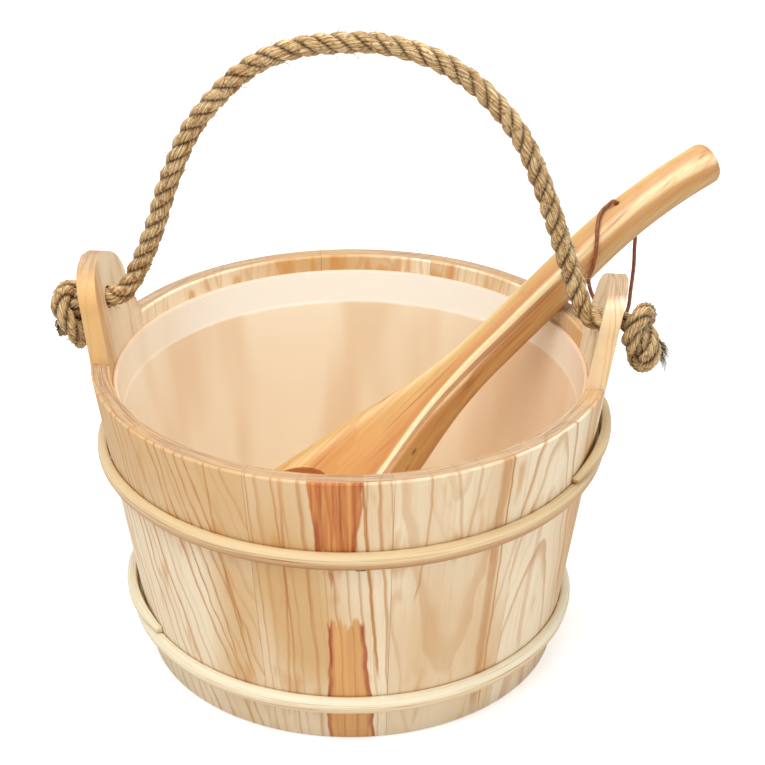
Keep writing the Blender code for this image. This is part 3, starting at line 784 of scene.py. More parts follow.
@cache
def streak_group() -> NodeTree:
    """One streak up a stave, bowed sideways, with soft sides and ends.

    Returns:
        The group.
    """
    inputs = ["place", "low", "high", "across low", "across high", "bow", "half", "strength"]
    tree, given, result = new_group("Wood streak", inputs, ["mask"])
    times, minus, linear, band = tree.times, tree.minus, tree.linear, tree.band
    across, along, _ = tree.split(given["place"])
    start = given["across low"]
    share = tree.share(along, given["low"], given["high"])
    line = linear(minus(given["across high"], start), share, start)
    line = linear(times(times(share, minus(1.0, share)), 4.0), given["bow"], line)
    wave = tree.noise(tree.combine(times(along, 60.0), start, 0.0), 1.0, 2.0)
    line = tree.plus(line, linear(wave, 0.0024, -0.0012))
    off = tree.math("ABSOLUTE", minus(across, line))
    inside = minus(1.0, tree.math("DIVIDE", off, given["half"]))
    ends = times(band(share, 0.0, 0.10), band(share, 0.90, 1.0, 1.0, 0.0))
    return close(tree, result, mask=times(times(band(inside, 0.0, 0.7), ends), given["strength"]))


@cache
def patch_group() -> NodeTree:
    """A patch of red heartwood on a stave, between two heights, with ragged ends and streaks.

    Returns:
        The group.
    """
    inputs = ["place", "low", "high", "centre low", "centre high", "half low", "half high", "seed",
              "pale", "strength"]
    tree, given, result = new_group("Heartwood patch", inputs, ["mask", "edge", "gold"])
    times, plus, minus, band = tree.times, tree.plus, tree.minus, tree.band
    across, along, _ = tree.split(given["place"])
    seed = tree.scaled((5.1, 2.3, 1.7), given["seed"])
    rag = tree.grain(given["place"], (380.0, 12.0, 0.0), 3.0, seed)
    wave = tree.grain(given["place"], (30.0, 38.0, 0.0), 2.0, seed)
    low, high = given["low"], given["high"]
    share = tree.share(along, low, high)
    centre, half = (tree.linear(minus(given[name + " high"], given[name + " low"]), share,
                                given[name + " low"]) for name in ("centre", "half"))
    off = tree.math("ABSOLUTE", minus(across, centre))
    inside = minus(times(half, tree.linear(wave, 0.60, 0.70)), off)
    ragged = tree.linear(rag, 0.030, -0.015)
    top = band(minus(plus(high, ragged), along), -0.0003, 0.0030)
    foot = band(plus(minus(along, low), ragged), -0.0003, 0.0030)
    mask = times(band(inside, -0.0003, 0.0009), times(top, foot))
    edge = band(inside, 0.0003, 0.0042, 1.0, 0.0)
    return close(tree, result, mask=times(mask, given["strength"]),
                 edge=edge,
                 gold=band(edge, 0.0, 0.9, given["pale"], 0.0))


@cache
def fibre_group() -> NodeTree:
    """Long fibres along a strip, strand or lace, from its stored run and turn.

    Returns:
        The group.
    """
    tree, given, result = new_group("Long fibres", ["along", "round", "seed"], ["fibre", "slow", "turn"])
    run, turn_x, turn_y = (tree.stored(name) for name in ("run", "turn_x", "turn_y"))
    place = tree.combine(tree.times(turn_x, given["round"]), tree.times(turn_y, given["round"]),
                         tree.plus(tree.times(run, given["along"]), given["seed"]))
    return close(tree, result, fibre=tree.noise(place, 1.0, 4.0, 0.65),
                 slow=tree.noise(tree.scaled(place, 0.35), 1.0, 1.0),
                 turn=turn_y)


# Finishes


@dataclass(frozen=True)
class Patch:
    """A patch of red heartwood: heights in metres, centres and half widths across the stave."""

    low: float
    high: float
    centre_low: float
    centre_high: float
    half_low: float
    half_high: float
    seed: float = 0.0
    pale: float = 0.25
    strength: float = 1.0


@dataclass(frozen=True)
class Streak:
    """A streak of colour: heights and places across in metres, its bow, half width and strength."""

    low: float
    high: float
    across_low: float
    across_high: float
    bow: float = 0.0
    half: float = 0.0008
    strength: float = 0.8


@dataclass(frozen=True)
class Log:
    """A log's year rings as a board shows them: pith, lean, spacing and wobble."""

    pith_across: float
    pith_depth: float
    lean: float
    spacing: float
    wobble: float
    seed: float


@dataclass(frozen=True)
class Board:
    """How one stave was sawn from its log."""

    log: Log
    contrast: float = 1.0
    patches: tuple[Patch, ...] = ()
    streaks: tuple[Streak, ...] = ()
    edge_warmth: float = 0.0
    # Share of a darker, warmer tone over the upper part: partly the wood's own colour, partly painted shade.
    top_warmth: float = 0.0


@dataclass(frozen=True)
class PineFinish:
    """Planed pale pine."""

    cream: Colour = paint(241, 224, 193)
    warm: Colour = paint(213, 173, 120)
    line: Colour = paint(206, 148, 82)
    dark_line: Colour = paint(176, 114, 54)
    heart: Colour = paint(184, 94, 36)
    heart_edge: Colour = paint(156, 58, 18)
    heart_streak: Colour = paint(214, 146, 82)
    golden: Colour = paint(226, 176, 108)
    end_grain: Colour = paint(182, 152, 120)
    end_line: Colour = paint(148, 112, 82)

    def make(self, name: str, angle: float, board: Board) -> Material:
        """The finish of one stave.

        Args:
            name: The material's name.
            angle: The stave's middle, in degrees round the tub.
            board: How the stave was sawn.

        Returns:
            The material.
        """
        tree = MaterialTree(name)
        band, times, mix, grain = tree.band, tree.times, tree.mix, tree.grain
        place = tree.group(wall_place_group(), angle=radians(angle))["place"]
        rings = tree.group(rings_group(), place=place, **vars(board.log))
        late, tone, fibre = rings["latewood"], rings["tone"], rings["fibre"]
        _, along, into = tree.split(place)
        blotch = grain(place, (75.0, 22.0, 75.0), 2.0, (board.log.seed, 0.0, 3.0))
        base = tree.layers(
            self.cream,
            (band(tone, 0.40, 0.66), self.warm),
            (times(band(fibre, 0.45, 0.75), 0.30), self.warm),
            (band(along, 0.0, 0.05, 0.6, 0.0), self.cream),
            # Upper part darker and warmer towards the rim: partly the wood's colour, partly painted shade.
            (band(along, 0.085, 0.140, 0.0, board.top_warmth), self.warm),
            (band(blotch, 0.56, 0.72, 0.0, 0.60), self.line))
        line = mix(band(fibre, 0.3, 0.7), self.dark_line, self.line)
        shown = times(late, band(into, 0.004, 0.008, board.contrast, 0.4 * board.contrast))
        shown = times(shown, band(along, 0.0, 0.11, 0.65, 1.0))
        colour = mix(tree.math("MINIMUM", shown, 1.0), base, line)
        for streak in board.streaks:
            colour = mix(tree.group(streak_group(), place=place, **vars(streak))["mask"], colour, line)
        for patch in board.patches:
            spot = tree.group(patch_group(), place=place, **vars(patch))
            flame = grain(place, (300.0, 11.0, 0.0), 2.0, (patch.seed, 5.0, 0.0), 0.6)
            rim = times(spot["edge"], band(blotch, 0.38, 0.56, 0.25, 0.85))
            heart = tree.layers(
                self.heart,
                (band(flame, 0.44, 0.62), self.heart_streak),
                (band(flame, 0.34, 0.44, 0.8, 0.0), self.heart_edge),
                (band(fibre, 0.42, 0.66, 0.0, 0.5), self.heart_streak),
                (spot["gold"], self.golden),
                (rim, self.heart_edge),
                (times(late, 0.35), self.heart_edge))
            colour = mix(spot["mask"], colour, heart)
        _, sideways, upwards = tree.split(tree.node("ShaderNodeNewGeometry").outputs["Normal"])
        if not board.edge_warmth:
            spots = grain(place, (85.0, 30.0, 0.0), 1.0, (board.log.seed, 7.0, 0.0))
            inside = times(band(into, 0.0085, 0.0094), band(spots, 0.59, 0.68, 0.0, 0.65))
            colour = mix(inside, colour, self.line)
        ring_lines = grain(place, (26.0, 0.0, 1300.0), 2.0, roughness=0.6)
        end = tree.layers(
            self.end_grain,
            (band(ring_lines, 0.46, 0.58), self.end_line),
            (band(tone, 0.40, 0.66, 0.0, 0.45), self.warm))
        colour = mix(times(band(upwards, 0.80, 0.96), 0.85), colour, end)
        if board.edge_warmth:
            golden = mix(band(blotch, 0.40, 0.60), self.golden, self.warm)
            flank = band(tree.math("ABSOLUTE", sideways), 0.55, 0.80, 0.0, board.edge_warmth)
            colour = mix(flank, colour, golden)
        relief = tree.linear(late, -0.45, fibre)
        return tree.coat(colour, tree.linear(fibre, 0.14, 0.46), 0.35, relief, 0.00016, 0.55)


@dataclass(frozen=True)
class LadleWood:
    """Oiled honey-coloured wood of the ladle."""

    honey: Colour = paint(196, 146, 88)
    gold: Colour = paint(215, 182, 118)
    amber: Colour = paint(192, 126, 70)
    streak: Colour = paint(158, 92, 50)
    speck: Colour = paint(110, 58, 32)
    # Pale wood of the raised edge, also used as a painted highlight there and in the bright bands round the
    # handle.
    ridge: Colour = paint(244, 218, 170)
    blush: Colour = paint(200, 152, 94)
    orange: Colour = paint(208, 138, 70)
    hollow: Colour = paint(206, 142, 88)
    log: Log = Log(0.035, 0.016, 0.05, 0.0052, 0.005, 4.0)

    def make(self, name: str, yaw: float, slope: float, origin: Vector) -> Material:
        """The finish, its grain along the ladle.

        Args:
            name: The material's name.
            yaw: Turn of the ladle's upright plane, in radians.
            slope: Slope of the handle, in radians.
            origin: A point of the ladle.

        Returns:
            The material.
        """
        tree = MaterialTree(name)
        band, times, stored = tree.band, tree.times, tree.stored
        local = tree.vector("SUBTRACT", tree.place(), tuple(origin))
        along, side, up = tree.split(tree.turned(tree.turned(local, "Z", yaw), "Y", -slope))
        board = tree.combine(side, along, up)
        rings = tree.group(rings_group(), place=board, **vars(self.log))
        late, tone, fibre = rings["latewood"], rings["tone"], rings["fibre"]
        drift = tree.grain(board, (30.0, 9.0, 30.0), 1.0)
        turn = tree.math("ARCTAN2", times(stored("turn_x"), -1.0), stored("turn_y"))
        turn = tree.linear(turn, 1.0 / tau, tree.linear(drift, 0.12, 0.44))
        # Tones round the section: partly the wood's own bands, partly painted light and shade on its faces;
        # the pale bands are painted highlights.
        facet_tones_and_highlights = tree.ramp(turn, ((0.20, self.gold), (0.36, self.gold), (0.43, self.ridge),
                                  (0.48, self.gold), (0.53, self.blush), (0.575, self.honey),
                                  (0.63, self.ridge), (0.672, self.ridge), (0.70, self.blush),
                                  (0.74, self.honey), (0.79, self.gold), (0.86, self.honey)))
        top = band(tree.math("ABSOLUTE", tree.minus(turn, 0.52)), 0.08, 0.12, 1.0, 0.0)
        threads = times(band(fibre, 0.45, 0.72), 0.4)
        streaks = tree.grain(board, (190.0, 6.0, 190.0), 2.0, roughness=0.6)
        cells = tree.vector("MULTIPLY", board, (80.0, 34.0, 80.0))
        specks = tree.node("ShaderNodeTexVoronoi",
                           {"Vector": cells, "Scale": 1.0, "Randomness": 1.0}).outputs
        rare = tree.math("GREATER_THAN", tree.split(specks["Color"])[0], 0.86)
        carved = tree.layers(self.hollow, (times(late, 0.6), self.amber), (threads, self.amber))
        colour = tree.layers(
            facet_tones_and_highlights,
            (times(top, times(stored("toward_bowl"), 0.75)), self.orange),
            (band(tone, 0.35, 0.68, 0.30, 0.05), self.honey),
            (threads, self.amber),
            (times(late, 0.45), self.amber),
            (band(streaks, 0.60, 0.74, 0.0, 0.65), self.streak),
            (times(rare, band(specks["Distance"], 0.08, 0.16, 0.75, 0.0)), self.speck),
            # Painted shade in the trough beside the raised edge.
            (band(stored("trough"), 0.30, 0.85, 0.0, 0.60), self.amber),
            (band(stored("lower"), 0.45, 0.85, 0.0, 0.70), self.streak),
            # The raised edge paler: partly paler wood, partly a painted highlight.
            (band(stored("ridge"), 0.36, 0.62, 0.0, 0.80), self.ridge),
            (stored("hollow"), carved))
        relief = tree.linear(late, -0.4, fibre)
        return tree.coat(colour, tree.linear(fibre, 0.16, 0.34), 0.45, relief, 0.00014, 0.5)


@dataclass(frozen=True)
class CaneFinish:
    """Split cane, its rind outwards."""

    # pale is also the painted highlight on top, and amber and brown also the painted shade underneath.
    straw: Colour = paint(216, 182, 128)
    pale: Colour = paint(238, 216, 170)
    amber: Colour = paint(182, 124, 68)
    brown: Colour = paint(126, 74, 38)

    def make(self, name: str, seed: float, warmth: float) -> Material:
        """The finish of one hoop.

        Args:
            name: The material's name.
            seed: Place in the noise.
            warmth: 0 for the palest cane with the lightest painted shade underneath, 1 for the most golden
                cane with the deepest.

        Returns:
            The material.
        """
        tree = MaterialTree(name)
        band = tree.band
        cane = tree.group(fibre_group(), along=14.0, round=8.0, seed=seed)
        fibre, turn = cane["fibre"], cane["turn"]
        colour = tree.layers(
            self.pale,
            (band(cane["slow"], 0.35, 0.65), self.straw),
            (0.30 * warmth, self.amber),
            (band(fibre, 0.48, 0.60, 0.0, 0.70), self.amber),
            (band(fibre, 0.58, 0.68, 0.0, 0.85), self.brown),
            # Painted shade: the lower half of the section darker.
            (band(turn, -0.55, 0.50, 0.42 + 0.53 * warmth, 0.0), self.amber),
            # Painted highlight along the upper side of the section.
            (band(turn, 0.15, 0.60, 0.0, 0.70), self.pale),
            # Painted shade: a dark line along the lower edge.
            (band(turn, -0.85, -0.25, 0.25 + 0.75 * warmth, 0.0), self.brown))
        return tree.coat(colour, tree.linear(fibre, 0.2, 0.28), 0.5, fibre, 0.00022, 0.6)


@dataclass(frozen=True)
class RopeFinish:
    """Natural rope fibre, golden tan."""

    straw: Colour = paint(246, 226, 178)
    tan: Colour = paint(210, 168, 104)
    brown: Colour = paint(142, 94, 44)
    # dark is the colour of the painted shade between the strands.
    dark: Colour = paint(74, 46, 24)
    soiled: Colour = paint(116, 100, 70)
    shade: Colour = paint(52, 44, 30)

    def make(self, name: str) -> Material:
        """The finish of the rope's strands.

        Args:
            name: The material's name.

        Returns:
            The material.
        """
        tree = MaterialTree(name)
        band, times = tree.band, tree.times
        coarse = tree.group(fibre_group(), along=70.0, round=5.5, seed=0.0)
        slow = coarse["slow"]
        fine = tree.group(fibre_group(), along=150.0, round=9.0, seed=9.0)["fibre"]
        flecks = tree.noise(tree.place(), 420.0, 2.0)
        # Painted shade in the valleys between the yarns.
        cleft_shade = times(band(tree.stored("valley"), 0.45, 1.0), band(slow, 0.35, 0.60, 0.25, 0.85))
        colour = tree.layers(
            self.tan,
            (band(coarse["fibre"], 0.38, 0.62), self.straw),
            (band(fine, 0.50, 0.58, 0.0, 0.90), self.brown),
            (band(slow, 0.52, 0.72, 0.0, 0.4), self.brown),
            (cleft_shade, self.brown),
            (band(fine, 0.36, 0.45, 0.95, 0.0), self.straw),
            (band(flecks, 0.54, 0.66, 0.0, 0.75), self.brown),
            # Painted shade in the grooves between the strands.
            (times(tree.stored("groove"), 0.92), self.dark),
            (times(tree.stored("end"), 0.80), self.soiled))
        tree.shader.inputs["Sheen Weight"].default_value = 0.15
        return tree.coat(colour, 0.78, 0.25, fine, 0.00035, 0.8)

    def make_stray(self, name: str, low: Colour, high: Colour) -> Material:
        """The finish of loose fibres, between two colours."""
        tree = MaterialTree(name)
        return tree.coat(tree.mix(tree.noise(tree.place(), 160.0, 1.0), low, high), 0.7)


@dataclass(frozen=True)
class LinerFinish:
    """Smooth moulded plastic, semi-gloss."""

    peach: Colour = paint(240, 218, 186)
    pale: Colour = paint(252, 240, 216)
    # blush is the colour of the painted shade on the liner's right side and on the top of the lip.
    blush: Colour = paint(228, 190, 156)
    # collar is the colour of a painted highlight on the collar.
    collar: Colour = paint(255, 253, 244)
    collar_foot: float = 0.1335
    lip_top: float = 0.1520

    def make(self, name: str) -> Material:
        """The finish.

        Args:
            name: The material's name.

        Returns:
            The material.
        """
        tree = MaterialTree(name)
        band = tree.band
        place = tree.place()
        side, back, height = tree.split(place)
        cloud = tree.grain(place, (22.0, 22.0, 4.0), 2.0)
        rise = band(height, self.collar_foot - 0.001, self.collar_foot + 0.001)
        colour = tree.layers(
            self.peach,
            (band(cloud, 0.36, 0.58), self.pale),
            # Painted shade: the right (+x) side darker and pinker.
            (band(side, 0.02, 0.10, 0.0, 0.55), self.blush),
            # Painted highlight: the collar whiter, most at the back.
            (tree.times(rise, band(back, 0.0, 0.10, 0.06, 1.0)), self.collar),
            # Painted shade on the top of the lip, toning down its highlight.
            (band(height, self.lip_top - 0.0012, self.lip_top, 0.0, 0.9), self.blush))
        flow = tree.grain(place, (30.0, 30.0, 6.0), 3.0)
        dimples = tree.noise(place, 55.0, 2.0)
        return tree.coat(colour, tree.linear(flow, 0.12, 0.18), 0.5, dimples, 0.00020, 0.25)


@dataclass(frozen=True)
class LeatherFinish:
    """Dark round lace, rubbed lighter here and there."""

    dark: Colour = paint(122, 64, 26)
    rubbed: Colour = paint(192, 114, 58)

    def make(self, name: str) -> Material:
        """The finish.

        Args:
            name: The material's name.

        Returns:
            The material.
        """
        tree = MaterialTree(name)
        fibre = tree.group(fibre_group(), along=420.0, round=2.0, seed=3.0)["fibre"]
        worn = tree.band(fibre, 0.5, 0.72)
        colour = tree.mix(worn, self.dark, self.rubbed)
        return tree.coat(colour, tree.linear(worn, 0.2, 0.45), 0.5, fibre, 0.00015, 0.6)


@dataclass(frozen=True)
class SteelFinish:
    """Dull staple wire."""

    steel: Colour = paint(112, 96, 84)
    rust: Colour = paint(84, 52, 34)

    def make(self, name: str) -> Material:
        """The finish.

        Args:
            name: The material's name.

        Returns:
            The material.
        """
        tree = MaterialTree(name)
        spots = tree.noise(tree.place(), 900.0, 2.0)
        colour = tree.mix(tree.band(spots, 0.45, 0.6), self.steel, self.rust)
        tree.shader.inputs["Metallic"].default_value = 0.85
        return tree.coat(colour, tree.linear(spots, 0.3, 0.3))


# The portrait


@dataclass(frozen=True)
class Portrait:
    """The camera, fitted to the photograph, whose frame is 765 pixels square."""

    frame_pixels: float = 765.0
    focal_pixels: float = 2109.8
    distance: float = 1.1303
    elevation: float = 27.57
    roll: float = 0.0652
    swing: float = 6.0
    target_x: float = 0.0169
    target_height: float = 0.1508
    sensor: float = 36.0

    def make(self) -> None:
        """Makes the scene's camera."""
        elevation, roll, swing = (radians(v) for v in (self.elevation, self.roll, self.swing))
        place = Vector((self.target_x, -self.distance * cos(elevation),
                        self.target_height + self.distance * sin(elevation) - TUB.chime))
        aim = Matrix.Rotation(pi / 2.0 - elevation, 4, "X") @ Matrix.Rotation(roll, 4, "Z")
        matrix = Matrix.Rotation(swing, 4, "Z") @ Matrix.Translation(place) @ aim
        data = bpy.data.cameras.new("portrait")
        data.sensor_width = self.sensor
        data.lens = self.focal_pixels / self.frame_pixels * self.sensor
        data.clip_start = 0.05
        camera = link("portrait", data)
        camera.matrix_world = matrix
        bpy.context.scene.camera = camera


@dataclass(frozen=True)
class Lamp:
    """One soft panel: where it hangs, how wide it is and how strong."""

    name: str
    azimuth: float
    elevation: float
    distance: float
    size: float
    power: float
    tint: tuple[float, float, float] = (1.0, 1.0, 1.0)


@dataclass(frozen=True)
class Studio:
    """Plain pale floor, soft panels and a white world."""

    centre: tuple[float, float, float] = (0.0, 0.0, 0.10)
    sky: float = 0.60
    lamps: tuple[Lamp, ...] = (Lamp("key panel", -25.0, 64.0, 1.6, 1.1, 13.5, (1.0, 0.985, 0.96)),
                               Lamp("side panel", 40.0, 14.0, 1.7, 1.2, 3.4),
                               Lamp("top panel", 170.0, 80.0, 1.5, 1.0, 12.0))
    floor_colour: Colour = (0.80, 0.79, 0.78, 1.0)
    floor_glow: float = 0.52
    floor_size: float = 12.0

    def make(self) -> None:
        """The world, the lamps and the floor."""
        world = bpy.data.worlds.new("studio")
        world.use_nodes = True
        bpy.context.scene.world = world
        tree = Tree(world.node_tree)
        world.node_tree.nodes.clear()
        strength = tree.linear(tree.seen(), 1.0 - self.sky, self.sky)
        light = tree.node("ShaderNodeBackground", {"Color": WHITE, "Strength": strength})
        tree.node("ShaderNodeOutputWorld", {"Surface": light.outputs[0]})
        for lamp in self.lamps:
            self.hang(lamp)
        self.lay_floor()

    def hang(self, lamp: Lamp) -> None:
        """Hangs one panel, turned to the bucket. Azimuth 0 is in front of it.

        Args:
            lamp: The panel.
        """
        data = bpy.data.lights.new(lamp.name, "AREA")
        data.shape = "DISK"
        data.size = lamp.size
        data.energy = lamp.power
        data.color = lamp.tint
        azimuth = radians(lamp.azimuth - 90.0)
        elevation = radians(lamp.elevation)
        offset = Vector((cos(azimuth) * cos(elevation), sin(azimuth) * cos(elevation),
                         sin(elevation)))
        obj = link(lamp.name, data)
        obj.location = Vector(self.centre) + offset * lamp.distance
        obj.rotation_euler = offset.to_track_quat("Z", "Y").to_euler()

    def lay_floor(self) -> None:
        """A white floor that takes only a soft shadow near the bucket."""
        half = self.floor_size / 2.0
        corners = [(x * half, y * half, TUB.foot_z) for x, y in ((-1, -1), (1, -1), (1, 1), (-1, 1))]
        floor = mesh_object("floor", corners, [(0, 1, 2, 3)])
        tree = MaterialTree("floor_paper")
        tree.tree.nodes.remove(tree.shader)
        diffuse = tree.take("ShaderNodeBsdfDiffuse", {"Color": self.floor_colour})
        glow = tree.take("ShaderNodeEmission", {"Color": WHITE, "Strength": self.floor_glow})
        lit = tree.take("ShaderNodeAddShader", {0: glow, 1: diffuse})
        surface = tree.take("ShaderNodeMixShader", {0: tree.seen(), 1: diffuse, 2: lit})
        tree.feed(tree.tree.nodes["Material Output"].inputs["Surface"], surface)
        dress(floor, tree.material)


# The rope bail


class Side(Enum):
    """The two ears."""

    LEFT = -1.0
    RIGHT = 1.0


@dataclass(frozen=True)
class Knot:
    """A stopper knot outside an ear: its lean in degrees, and its drop, tail and play."""

    side: Side
    pitch: float
    drop: float
    tail: float
    play: float


@dataclass
class RopeBail:
    """Three-strand rope through both ears, with an overhand knot drawn tight outside each."""

    diameter: float = 0.0113
    knot_diameter: float = 0.0090
    mouth: float = 0.0012
    rise: float = 0.1460
    pitch: float = 0.0290
    lay_share: float = 0.222
    strand_share: float = 0.285
    yarn_turn: float = 0.022
    step: float = 0.0009
    pressed: float = 0.0102
    knots: tuple[Knot, ...] = (Knot(Side.LEFT, 30.0, 0.0060, 0.35, 0.0020),
                               Knot(Side.RIGHT, 18.0, 0.0030, 0.30, 0.0012))
    stray_density: float = 52000.0
    stray_length: float = 0.0050
    stray_thickness: float = 0.00013
    frayed_count: int = 420
    soiled: float = 0.002
    soiled_fade: float = 0.003
    squeeze_lead: float = 0.001
    squeeze_fade: float = 0.007
    strand_shift: float = 1.37
    yarns: int = 7
    yarn_valley: float = 0.78
    rough_height: float = 0.00080
    stray_groove: float = 0.25
    stray_swing: float = 1.1
    stray_scale: tuple[float, float] = (0.25, 1.35)
    frayed_spread: float = 0.44
    frayed_root: float = 0.0012
    frayed_least: float = 0.0010
    frayed_bend: tuple[float, float] = (0.05, 0.60)
    frayed_thickness: tuple[float, float] = (0.00009, 0.00024)
    frayed_taper: float = 0.35
    frayed_sag: float = 0.4
    seed: int = 7

    def tight_overhand(self) -> np.ndarray:
        """Centreline of an overhand knot drawn tight, in rope diameters, its two leads along -Y and +Y.

        Returns:
            The centreline: an open three-lobed loop, shortened step by step while it keeps clear of itself.
        """
        big, small, reach, count = 1.35, 0.72, 2.6, 56
        opening = 0.30
        turn = np.linspace(opening, 2.0 * np.pi - opening, 300)
        wide = big + small * np.cos(3.0 * turn)
        loop = np.stack([wide * np.cos(2.0 * turn), wide * np.sin(2.0 * turn),
                         small * np.sin(3.0 * turn)], axis=-1)
        start, end = ([loop[0, 0], reach * way, loop[row, 2]] for way, row in ((-1.0, 0), (1.0, -1)))
        path = even_steps(np.vstack([start, loop, end]), count)
        link = float(np.linalg.norm(np.diff(path, axis=0), axis=1).mean())
        clear, bend = 1.08, 0.58
        rounds, passes, slack, shrink, eagerness = 900, 8, 1.05, 0.997, 1.3
        apart, drift = 1.5, 0.03
        ends = path[[0, -1]].copy()
        for _ in range(rounds):
            if np.linalg.norm(np.diff(path, axis=0), axis=1).max() < slack * link:
                link *= shrink
            first_rows, second_rows = np.triu_indices(count, int(np.ceil(apart / link)))
            chord = 2.0 * bend * np.sin(link / bend)
            middle = path[count // 4:3 * count // 4].mean(axis=0)
            ends[:, [0, 2]] += drift * (middle[[0, 2]] - ends[:, [0, 2]])
            for _ in range(passes):
                path[[0, -1]] = ends
                for gap, target, firm in ((1, link, 0.5), (2, chord, 0.2)):
                    for offset in range(2 * gap):
                        rows = np.arange(offset, count - gap, 2 * gap)
                        span = path[rows + gap] - path[rows]
                        size = np.linalg.norm(span, axis=1)[:, None]
                        pull = firm * (size - target) / size
                        move = (pull if gap == 1 else np.minimum(pull, 0.0)) * span
                        path[rows] += move
                        path[rows + gap] -= move
                span = path[second_rows] - path[first_rows]
                size = np.linalg.norm(span, axis=1)
                near = size < clear
                if near.any():
                    push = (0.5 * (size[near] - clear) / size[near])[:, None] * span[near]
                    total = np.zeros_like(path)
                    hits = np.zeros(count)
                    for rows, way in ((first_rows, 1.0), (second_rows, -1.0)):
                        np.add.at(total, rows[near], way * push)
                        np.add.at(hits, rows[near], 1.0)
                    path += total / np.maximum(hits, 1.0)[:, None] * eagerness
            path[[0, -1]] = ends
        path[:, [0, 2]] -= ends[0, [0, 2]]
        return path

    def knot_path(self, core: np.ndarray, knot: Knot) -> np.ndarray:
        """Route of one knot, from the mouth of the ear's hole to its tail.

        Args:
            core: The tight overhand knot in rope diameters.
            knot: Which knot.

        Returns:
            The route in metres.
        """
        lead, end = -0.95, 1.02 + knot.tail
        first = int(np.argmax(core[:, 1] > lead))
        last = len(core) - 1 - int(np.argmax(core[::-1, 1] < end))
        depth, out, height = (core[first:last + 1] * self.knot_diameter).T
        lean = radians(knot.pitch)
        reach = out * cos(lean) + height * sin(lean)
        height = -out * sin(lean) + height * cos(lean)
        height -= height[0] + knot.drop
        wall = reach - height * TUB.taper
        reach += self.knot_diameter * 0.5 + TUB.gap + knot.play - wall.min()
        placed = np.stack([reach, depth - depth[0], height], axis=-1)
        start = 3.0 * TUB.gap
        path = smooth_path([(start, 0.0, 0.0), (start + self.mouth, 0.0, 0.0), *placed[1:]], 160)
        side = knot.side.value
        face = TUB.radius(TUB.hinge_z)
        return np.stack([side * (face + path[:, 0]), TUB.hinge_y + side * path[:, 1],
                         TUB.hinge_z + path[:, 2]], axis=-1)

    def arch_path(self) -> np.ndarray:
        """Route of the rope from the outer mouth of the left ear's hole to that of the right ear's hole.

        Returns:
            The route in metres.
        """
        # Listed points: share of the half span between the ears, and of the arch's height
        arch = [(-0.918, 0.041), (-0.876, 0.106), (-0.834, 0.188), (-0.784, 0.305), (-0.730, 0.455),
                (-0.631, 0.658), (-0.499, 0.812), (-0.366, 0.914), (-0.206, 0.976), (-0.023, 1.000),
                (0.129, 0.999), (0.305, 0.959), (0.461, 0.880), (0.586, 0.771), (0.674, 0.658),
                (0.739, 0.527), (0.796, 0.388), (0.838, 0.274), (0.883, 0.154), (0.923, 0.048)]
        face = TUB.radius(TUB.hinge_z)
        inner = face - TUB.wall
        # In rope diameters from the ear's inner face
        leave = ((0.35, 0.0), (-0.13, 0.0), (-0.55, 0.14))
        ends = [(face, 0.0), *((inner + x * self.diameter, rise * self.diameter) for x, rise in leave)]
        points = [(-x, height) for x, height in ends]
        points += [(x * inner, height * self.rise) for x, height in arch]
        points += list(reversed(ends))
        return smooth_path([(x, TUB.hinge_y, TUB.hinge_z + height) for x, height in points], 500)

    def route(self) -> tuple[np.ndarray, np.ndarray]:
        """The whole rope from tail to tail, and the share of its full thickness at each point.

        Returns:
            The route in metres, and the shares.
        """
        core = self.tight_overhand()
        left = self.knot_path(core, self.knots[0])[::-1]
        right = self.knot_path(core, self.knots[1])
        whole = np.vstack([left, self.arch_path(), right])
        count = int(distances(whole)[-1] / self.step)
        path = even_steps(whole, count)
        for _ in range(2):
            path[1:-1] = 0.25 * path[:-2] + 0.5 * path[1:-1] + 0.25 * path[2:]
        thin = self.pressed / self.diameter
        inside = TUB.radius(TUB.hinge_z) - np.abs(path[:, 0])
        return path, thin + (1.0 - thin) * ease((inside + self.squeeze_lead) / self.squeeze_fade)

    def strand_tree(self) -> NodeTree:
        """Geometry nodes that lay three strands round a line, and store what their finish reads.

        Returns:
            The tree.
        """
        inputs = ["line", "lay radius", "strand radius", "pitch", "yarn turn", "finish"]
        tree, given, result = new_group("Laid rope", inputs, ["rope"], "GeometryNodeTree")
        take, times, store = tree.take, tree.times, tree.store
        line = take("GeometryNodeMeshToCurve", {"Mesh": given["line"]})
        copies = tree.node("GeometryNodeDuplicateElements", {"Geometry": line, "Amount": 3}, domain="SPLINE")
        number = copies.outputs["Duplicate Index"]
        size = tree.named("size")
        along = tree.node("GeometryNodeSplineParameter").outputs
        tangent, normal, place, index = (take("GeometryNodeInput" + kind)
                                         for kind in ("Tangent", "Normal", "Position", "Index"))
        lay = times(tree.math("DIVIDE", along["Length"], given["pitch"]), tau)
        angle = tree.plus(times(number, tau / 3.0), lay)
        reach = times(given["lay radius"], size)
        binormal = tree.vector("CROSS_PRODUCT", tangent, normal)
        offset = tree.vector("ADD", tree.scaled(normal, times(reach, tree.math("COSINE", angle))),
                             tree.scaled(binormal, times(reach, tree.math("SINE", angle))))
        strand = store(copies.outputs[0], "lean", offset, "FLOAT_VECTOR")
        strand = store(strand, "lie", tangent, "FLOAT_VECTOR")
        strand = take("GeometryNodeSetPosition", {"Geometry": strand, "Offset": offset})
        strand = store(strand, "run", tree.linear(number, self.strand_shift, along["Length"]))
        uneven = times(tree.noise(place, 45.0, 1.0), 5.0)
        tilt = tree.linear(tree.math("DIVIDE", along["Length"], given["yarn turn"]), -tau, uneven)
        strand = take("GeometryNodeSetCurveTilt", {"Curve": strand, "Tilt": tilt})
        strand = take("GeometryNodeSetCurveRadius", {"Curve": strand, "Radius": size})
        radius = given["strand radius"]
